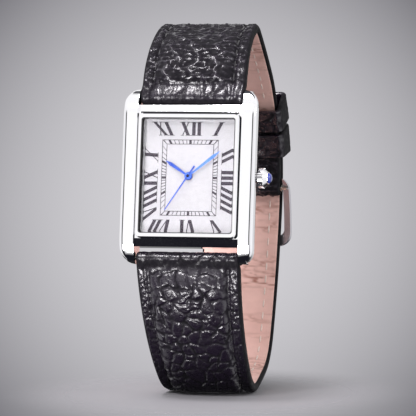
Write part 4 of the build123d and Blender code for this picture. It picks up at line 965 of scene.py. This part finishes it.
def lining_sheet(name, arcs, begin, end, seed, tip=None):
    """A thin sheet on the wrist side of a strap line, between two distances."""
    run = np.arange(begin, end, lining_step)
    spots, outward = line_places(arcs, run)
    half = half_width(spots[:, 0]) - lining_margin
    if tip is not None:
        half = np.minimum(half, tip(run) - lining_margin)
    across = half[:, None] * np.linspace(-1, 1, lining_columns)
    along = np.broadcast_to(run[:, None], across.shape)
    _, fold = grain(along, across, (1.3 * mm, 7.0 * mm), seed)
    fold = fold * smooth(np.abs(wander(run / (5 * mm), run / (9 * mm), seed)) * 1.3)[:, None]
    inside = np.full_like(across, lining_rise + lining_thickness)
    return skin_piece(
        name, np.concatenate([across, across[:, ::-1]], axis=1),
        np.concatenate([lining_rise + lining_crease * fold, inside], axis=1),
        spots[:, None], outward[:, None], np.concatenate([fold, np.zeros_like(fold)], axis=1),
    )


pink_lining, lining_tree, lining_shader = surface("pink_lining", {
    "Sheen Weight": 0.25, "Sheen Roughness": 0.5, "Specular IOR Level": 0.3,
})
lining_place = place(lining_tree)
crease_shade = add_node(lining_tree, "ShaderNodeAttribute", {}, attribute_name="fold")["Fac"]
patches = noise(lining_tree, lining_place, 0.35, 5.0)
lining_pores = {"Vector": lining_place, "Scale": 4.0}
nap = add_node(lining_tree, "ShaderNodeGroup", lining_pores, node_tree=pores)["Height"]
patched = mixed(lining_tree, patches, (0.68, 0.42, 0.37), (0.88, 0.585, 0.52))
set_inputs(lining_tree, lining_shader, {
    # Painted shade: the lining is mixed to dark brown in its creases
    "Base Color": mixed(lining_tree, crease_shade, patched, (0.36, 0.16, 0.12)),
    "Roughness": ranged(lining_tree, patches, (0.0, 1.0), (0.55, 0.85)),
    "Normal": bumped(lining_tree, nap, 0.35, 0.04 * mm),
})

upper_lining = lining_sheet(
    "upper_lining", upper_line, upper_ring_radius, upper_length - wrap_radius - wrap_clearance, 21
)
lower_lining = lining_sheet(
    "lower_lining", lower_line, lining_margin, lower_length - lower_ring_radius, 31, tip_width
)
for lining, node in ((upper_lining, "upper_strap_lining"), (lower_lining, "lower_strap_lining")):
    lining.data.materials.append(pink_lining)
    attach(lining, "case")
    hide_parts(node)

# Holes
# Seven round holes, punched through both layers of the lower strap in a row along its middle.
# The tang stands in one of them.
hole_radius = 0.9 * mm
hole_pitch = 6.5 * mm
punch_depth = 8 * mm
tang_reach = 2.1 * mm
tang_hole = stack_arc[2] * math.radians(tip_turn) + tang_reach
holes_above = 2
holes_below = 4

hole_steps = np.arange(-holes_above, holes_below + 1)
punches = []
for spot, outward in zip(*line_places(lower_line, tang_hole + hole_steps * hole_pitch)):
    deselect()
    bpy.ops.mesh.primitive_cylinder_add(
        vertices=36, radius=hole_radius, depth=punch_depth, location=(0, *spot),
        rotation=Vector((0, *outward)).to_track_quat("Z", "X").to_euler(),
    )
    punches.append(bpy.context.active_object)
select_only(punches[0])
for punch in punches:
    punch.select_set(True)
bpy.ops.object.join()
for strap_layer in (lower_leather, lower_lining):
    cut = strap_layer.modifiers.new("holes", "BOOLEAN")
    cut.operation = "DIFFERENCE"
    cut.object = punches[0]
    select_only(strap_layer)
    bpy.ops.object.modifier_apply(modifier="holes")
bpy.data.objects.remove(punches[0])

# Seams
# Lockstitch along both edges: black waxed thread in a groove of the outer leather, and its pale
# under thread on the lining.
stitch_pitch = 2.6 * mm
stitch_length = 1.7 * mm
stitch_radius = 0.17 * mm
lug_seam_gap = 3.4 * mm
buckle_seam_gap = 19 * mm
tip_seam_gap = 12 * mm
groove_sink = 0.12 * mm
under_sink = 0.02 * mm

deselect()
bpy.ops.mesh.primitive_uv_sphere_add(segments=8, ring_count=6, radius=1)
ball = bpy.context.active_object
stitch_size = np.array([stitch_length / 2, stitch_radius, stitch_radius])
stitch_shape = np.array([vertex.co for vertex in ball.data.vertices]) * stitch_size
stitch_faces = [list(face.vertices) for face in ball.data.polygons]
bpy.data.objects.remove(ball)


def seam(name, arcs, runs, rise, thread):
    """Two rows of stitches along a strap line, at a rise from it and inside its edges."""
    points, faces = [], []
    for spot, out in zip(*line_places(arcs, runs)):
        turned = stitch_shape @ np.array([[0, out[1], -out[0]], [1, 0, 0], [0, *out]])
        for side in (-1, 1):
            middle = [side * (half_width(spot[0]) - edge_strip), *(spot + rise * out)]
            count = len(points) * len(stitch_shape)
            points.append(middle + turned)
            faces += [[corner + count for corner in face] for face in stitch_faces]
    piece = closed_piece(name, np.concatenate(points), faces)
    piece.data.materials.append(thread)
    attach(piece, "case")


black_thread = speckled(
    "black_thread", {"Sheen Weight": 0.3}, ((0.006, 0.005, 0.007), (0.02, 0.018, 0.022)),
    3.0, (0.45, 0.6), 0.8,
)
pale_thread = speckled(
    "pale_thread", {"Sheen Weight": 0.3}, ((0.62, 0.5, 0.44), (0.75, 0.64, 0.58)),
    3.0, (0.45, 0.6), 0.8,
)
upper_runs = np.arange(lug_seam_gap, upper_length - buckle_seam_gap, stitch_pitch)
lower_runs = np.arange(tip_seam_gap, lower_length - lug_seam_gap, stitch_pitch)
seam("upper_seam", upper_line, upper_runs, leather_rise - groove_sink, black_thread)
seam("lower_seam", lower_line, lower_runs, leather_rise - groove_sink, black_thread)
seam("upper_under_seam", upper_line, upper_runs, lining_rise - under_sink, pale_thread)
seam("lower_under_seam", lower_line, lower_runs, lining_rise - under_sink, pale_thread)

# Keepers
# Two loops of the same leather, glued and turned at their edges. One is sewn to the upper strap
# by the buckle, and the other slides to hold the tip.
keeper_width = 5.2 * mm
keeper_wall = 0.95 * mm
keeper_edge = keeper_wall * 0.38
keeper_slack = 0.3 * mm
keeper_gap = 0.9 * mm
keeper_corner = 1.2 * mm
keeper_step = 0.3 * mm
keeper_grain = 0.16 * mm
fixed_keeper_place = 6.6 * mm
free_keeper_place = fixed_keeper_place + keeper_width + keeper_gap


def divided(points):
    """A closed line with points between its own, a short step apart."""
    fine = []
    for spot, after in zip(points, np.roll(points, -1, axis=0)):
        steps = max(int(math.hypot(*(after - spot)[:2]) / keeper_step), 1)
        fine += [spot + (after - spot) * step / steps for step in range(steps)]
    return np.array(fine)


def keeper_loop(name, start, slack, seed):
    """A grained leather loop round both straps, at a distance before the buckle bar."""
    section = []
    for turn in np.linspace(0, math.tau, 20, endpoint=False):
        cos, sin = math.cos(turn), math.sin(turn)
        s = math.copysign(keeper_width / 2 - keeper_edge, cos) + keeper_edge * cos
        w = math.copysign(keeper_wall / 2 - keeper_edge, sin) + keeper_edge * sin
        section.append((s, w - keeper_wall / 2))
    section = divided(np.array(section))
    middle_run = upper_length - start - keeper_width / 2
    middle = line_places(upper_line, np.array([middle_run]))[0][0]
    right = float(half_width(middle[0])) + keeper_slack + keeper_wall - keeper_corner
    high = stack_rise + leather_rise + keeper_slack + keeper_wall - keeper_corner
    low = lining_rise - leather_thickness - slack - keeper_wall + keeper_corner
    path = []
    corners = ((right, high, 0), (-right, high, 90), (-right, low, 180), (right, low, 270))
    for x, r, first in corners:
        for angle in np.radians(first + np.linspace(0, 90, 12)):
            cos, sin = math.cos(angle), math.sin(angle)
            path.append((x + keeper_corner * cos, r + keeper_corner * sin, cos, sin))
    path = divided(np.array(path))
    spots, outward = line_places(upper_line, middle_run + section[:, 0])
    length = np.cumsum(np.hypot(*np.diff(path[:, :2], axis=0, prepend=path[-1:, :2]).T))
    along, round_path = np.meshgrid(section[:, 0], length)
    height, fold = grain(round_path, along, (2.4 * mm, 2.0 * mm), seed)
    flat = np.abs(path[:, 3:4])
    face = smooth(section[:, 1] / keeper_wall * 2 + 1.2)[None, :] * flat
    push = section[None, :, 1] + keeper_grain * height * face
    piece = skin_piece(
        name, path[:, 0:1] + push * path[:, 2:3], path[:, 1:2] + push * path[:, 3:4],
        spots[None], outward[None], np.maximum(fold * face, 1 - flat), is_loop=True,
    )
    piece.data.materials.append(black_leather)
    return piece


fixed_loop = keeper_loop("fixed_loop", fixed_keeper_place, 0, 41)
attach(fixed_loop, "case")
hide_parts("fixed_keeper")
free_loop = keeper_loop("free_loop", free_keeper_place, keeper_slack, 43)
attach(free_loop, "free_keeper")
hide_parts("free_keeper")

# Floor
# A pale stand that leans a little to the viewer and fades out at its edge; it isn't part of the
# watch, which touches it with the lowest part of its strap.
floor_lean = math.radians(10)
floor_radius = 160 * mm
floor_depth = 16 * mm
floor_middle = (0, -16, 40)
floor_fade = (14.0, 42.0)

deselect()
bpy.ops.mesh.primitive_circle_add(vertices=96, radius=floor_radius, fill_type="TRIFAN")
floor = bpy.context.active_object
floor.name = "floor"
floor_up = Vector((0, -math.sin(floor_lean), math.cos(floor_lean)))
touch = min(vertex.co.dot(floor_up) for vertex in lower_leather.data.vertices)
floor_back = Vector((0, floor_depth, floor_depth * math.tan(floor_lean)))
floor.data.transform(Matrix.Rotation(floor_lean, 4, "X"))
floor.data.transform(Matrix.Translation(floor_up * touch + floor_back))
pale_floor, floor_tree, floor_shader = surface("pale_floor", {
    "Base Color": (0.29, 0.285, 0.3, 1), "Roughness": 0.7, "Specular IOR Level": 0.1,
})
centred = calculated(floor_tree, "VectorMath", "ADD", place(floor_tree), floor_middle)["Vector"]
from_middle = calculated(floor_tree, "VectorMath", "LENGTH", centred)["Value"]
set_inputs(floor_tree, floor_shader, {
    "Alpha": ranged(
        floor_tree, from_middle, floor_fade, (1.0, 0.0), interpolation_type="SMOOTHSTEP"
    ),
})
floor.data.materials.append(pale_floor)
floor.visible_glossy = False

# Camera
# A little below the middle of the watch, turned 14.5 degrees to the crown side, with a long lens.
# The hub of the hands stands at a known place of the picture.
camera_turn = math.radians(14.5)
camera_rise = math.radians(-5)
camera_roll = math.radians(2)
camera_distance = 700 * mm
picture_pixels = 416
pixels_per_metre = 5240.0
hub_pixel = (188.7, 176.2)
hub = Vector((0, -5.2 * mm, 0))

back = Vector((
    math.sin(camera_turn) * math.cos(camera_rise),
    -math.cos(camera_turn) * math.cos(camera_rise),
    math.sin(camera_rise),
))
level_right = Vector((math.cos(camera_turn), math.sin(camera_turn), 0))
level_up = back.cross(level_right)
picture_right = level_right * math.cos(camera_roll) + level_up * math.sin(camera_roll)
picture_up = level_up * math.cos(camera_roll) - level_right * math.sin(camera_roll)
shift_right = (hub_pixel[0] - picture_pixels / 2) / pixels_per_metre
shift_up = (picture_pixels / 2 - hub_pixel[1]) / pixels_per_metre
camera_data = bpy.data.cameras.new("camera")
camera_data.sensor_width = 36
camera_data.lens = camera_data.sensor_width * camera_distance * pixels_per_metre / picture_pixels
camera_data.clip_start = 0.01
camera_data.clip_end = 20
camera = new_piece("camera", camera_data)
turn = Matrix((picture_right, picture_up, back)).transposed().to_4x4()
spot = hub - picture_right * shift_right - picture_up * shift_up + back * camera_distance
camera.matrix_world = Matrix.Translation(spot) @ turn
bpy.context.scene.camera = camera

# Light
# Soft lights from above and a little left, from the top, from below and a weak one at the crown
# side. The room has a white screen in front, which the flat steel mirrors, with a dark gap round
# it and pale walls past that.
light_distance = 0.8
for name, direction, size, power, colour in (
    ("key", (-0.23, -0.9, 0.6), 0.15, 3.0, (1.0, 0.96, 1.0)),
    ("top", (-0.2, -0.5, 1.0), 0.18, 3.4, (1.0, 0.96, 1.0)),
    ("low", (-0.23, -0.9, -0.55), 0.28, 4.4, (1.0, 0.97, 1.0)),
    ("side", (1.0, -0.5, 0.35), 0.18, 1.1, (1.0, 0.97, 0.98)),
):
    data = bpy.data.lights.new(name, "AREA")
    data.shape = "SQUARE"
    data.size = size
    data.energy = power
    data.color = colour
    light = new_piece(name, data)
    toward = Vector(direction).normalized()
    facing = toward.to_track_quat("Z", "Y").to_matrix().to_4x4()
    light.matrix_world = Matrix.Translation(toward * light_distance) @ facing
    light.visible_camera = False

world = bpy.data.worlds.new("studio")
bpy.context.scene.world = world
world.use_nodes = True
world_tree = world.node_tree
world_tree.nodes.clear()
direction = add_node(world_tree, "ShaderNodeTexCoord", {})["Generated"]


def reach_along(axis):
    """How far the view's direction points along an axis."""
    return calculated(world_tree, "VectorMath", "DOT_PRODUCT", direction, axis)["Value"]


def world_math(operation, *values):
    """A calculation in the world's nodes."""
    return calculated(world_tree, "Math", operation, *values)[0]


# Grey of the room by how far a direction is off the white screen in front, which ends near 0.2
sideways = world_math("DIVIDE", world_math("ABSOLUTE", reach_along((0.968, -0.25, 0))), 0.2)
downwards = world_math("DIVIDE", reach_along((0, 0, -1)), 0.67)
off_screen = world_math("DIVIDE", world_math("MAXIMUM", sideways, downwards), 5.0)
room = ramp(world_tree, off_screen, (
    (0.0, (1.08, 1.08, 1.09)), (0.185, (1.08, 1.08, 1.09)), (0.22, (0.01, 0.01, 0.015)),
    (0.5, (0.015, 0.015, 0.02)), (0.58, (0.8, 0.8, 0.82)), (1.0, (1.0, 1.0, 1.02)),
))

# A pale ceiling, its dark middle, a grey wall behind the watch and a dark patch low on it
black, white = (0.0, 0.0, 0.0), (1.0, 1.0, 1.0)
for axis, start, full, colour in (
    ((0, 0, 1), 0.62, 0.68, (1.05, 1.05, 1.06)),
    ((0, 0, 1), 0.94, 0.965, (0.1, 0.1, 0.11)),
    ((0.249, 0.964, 0), 0.72, 0.9, (0.7, 0.7, 0.71)),
    ((-0.15, 0.7, -0.7), 0.84, 0.9, (0.02, 0.02, 0.022)),
):
    share = world_math("MULTIPLY_ADD", reach_along(axis), 0.5, 0.5)
    stops = ((0.0, black), (start, black), (full, white), (1.0, white))
    room = mixed(world_tree, ramp(world_tree, share, stops), room, colour)

# The wall that the camera sees, by its distance from the middle of the picture
wall_share = ranged(world_tree, reach_along(tuple(-back)), (0.99, 1.0), (0.0, 1.0))
wall = ramp(world_tree, wall_share, (
    (0.0, (0.42, 0.415, 0.43)), (0.45, (0.3, 0.295, 0.31)),
    (0.678, (0.215, 0.21, 0.23)), (1.0, (0.66, 0.65, 0.68)),
))
either = add_node(world_tree, "ShaderNodeMixShader", {
    "Fac": add_node(world_tree, "ShaderNodeLightPath", {})["Is Camera Ray"],
    1: add_node(world_tree, "ShaderNodeBackground", {"Color": room})["Background"],
    2: add_node(world_tree, "ShaderNodeBackground", {"Color": wall})["Background"],
})["Shader"]
add_node(world_tree, "ShaderNodeOutputWorld", {"Surface": either})
bpy.context.scene.view_settings.view_transform = "Standard"
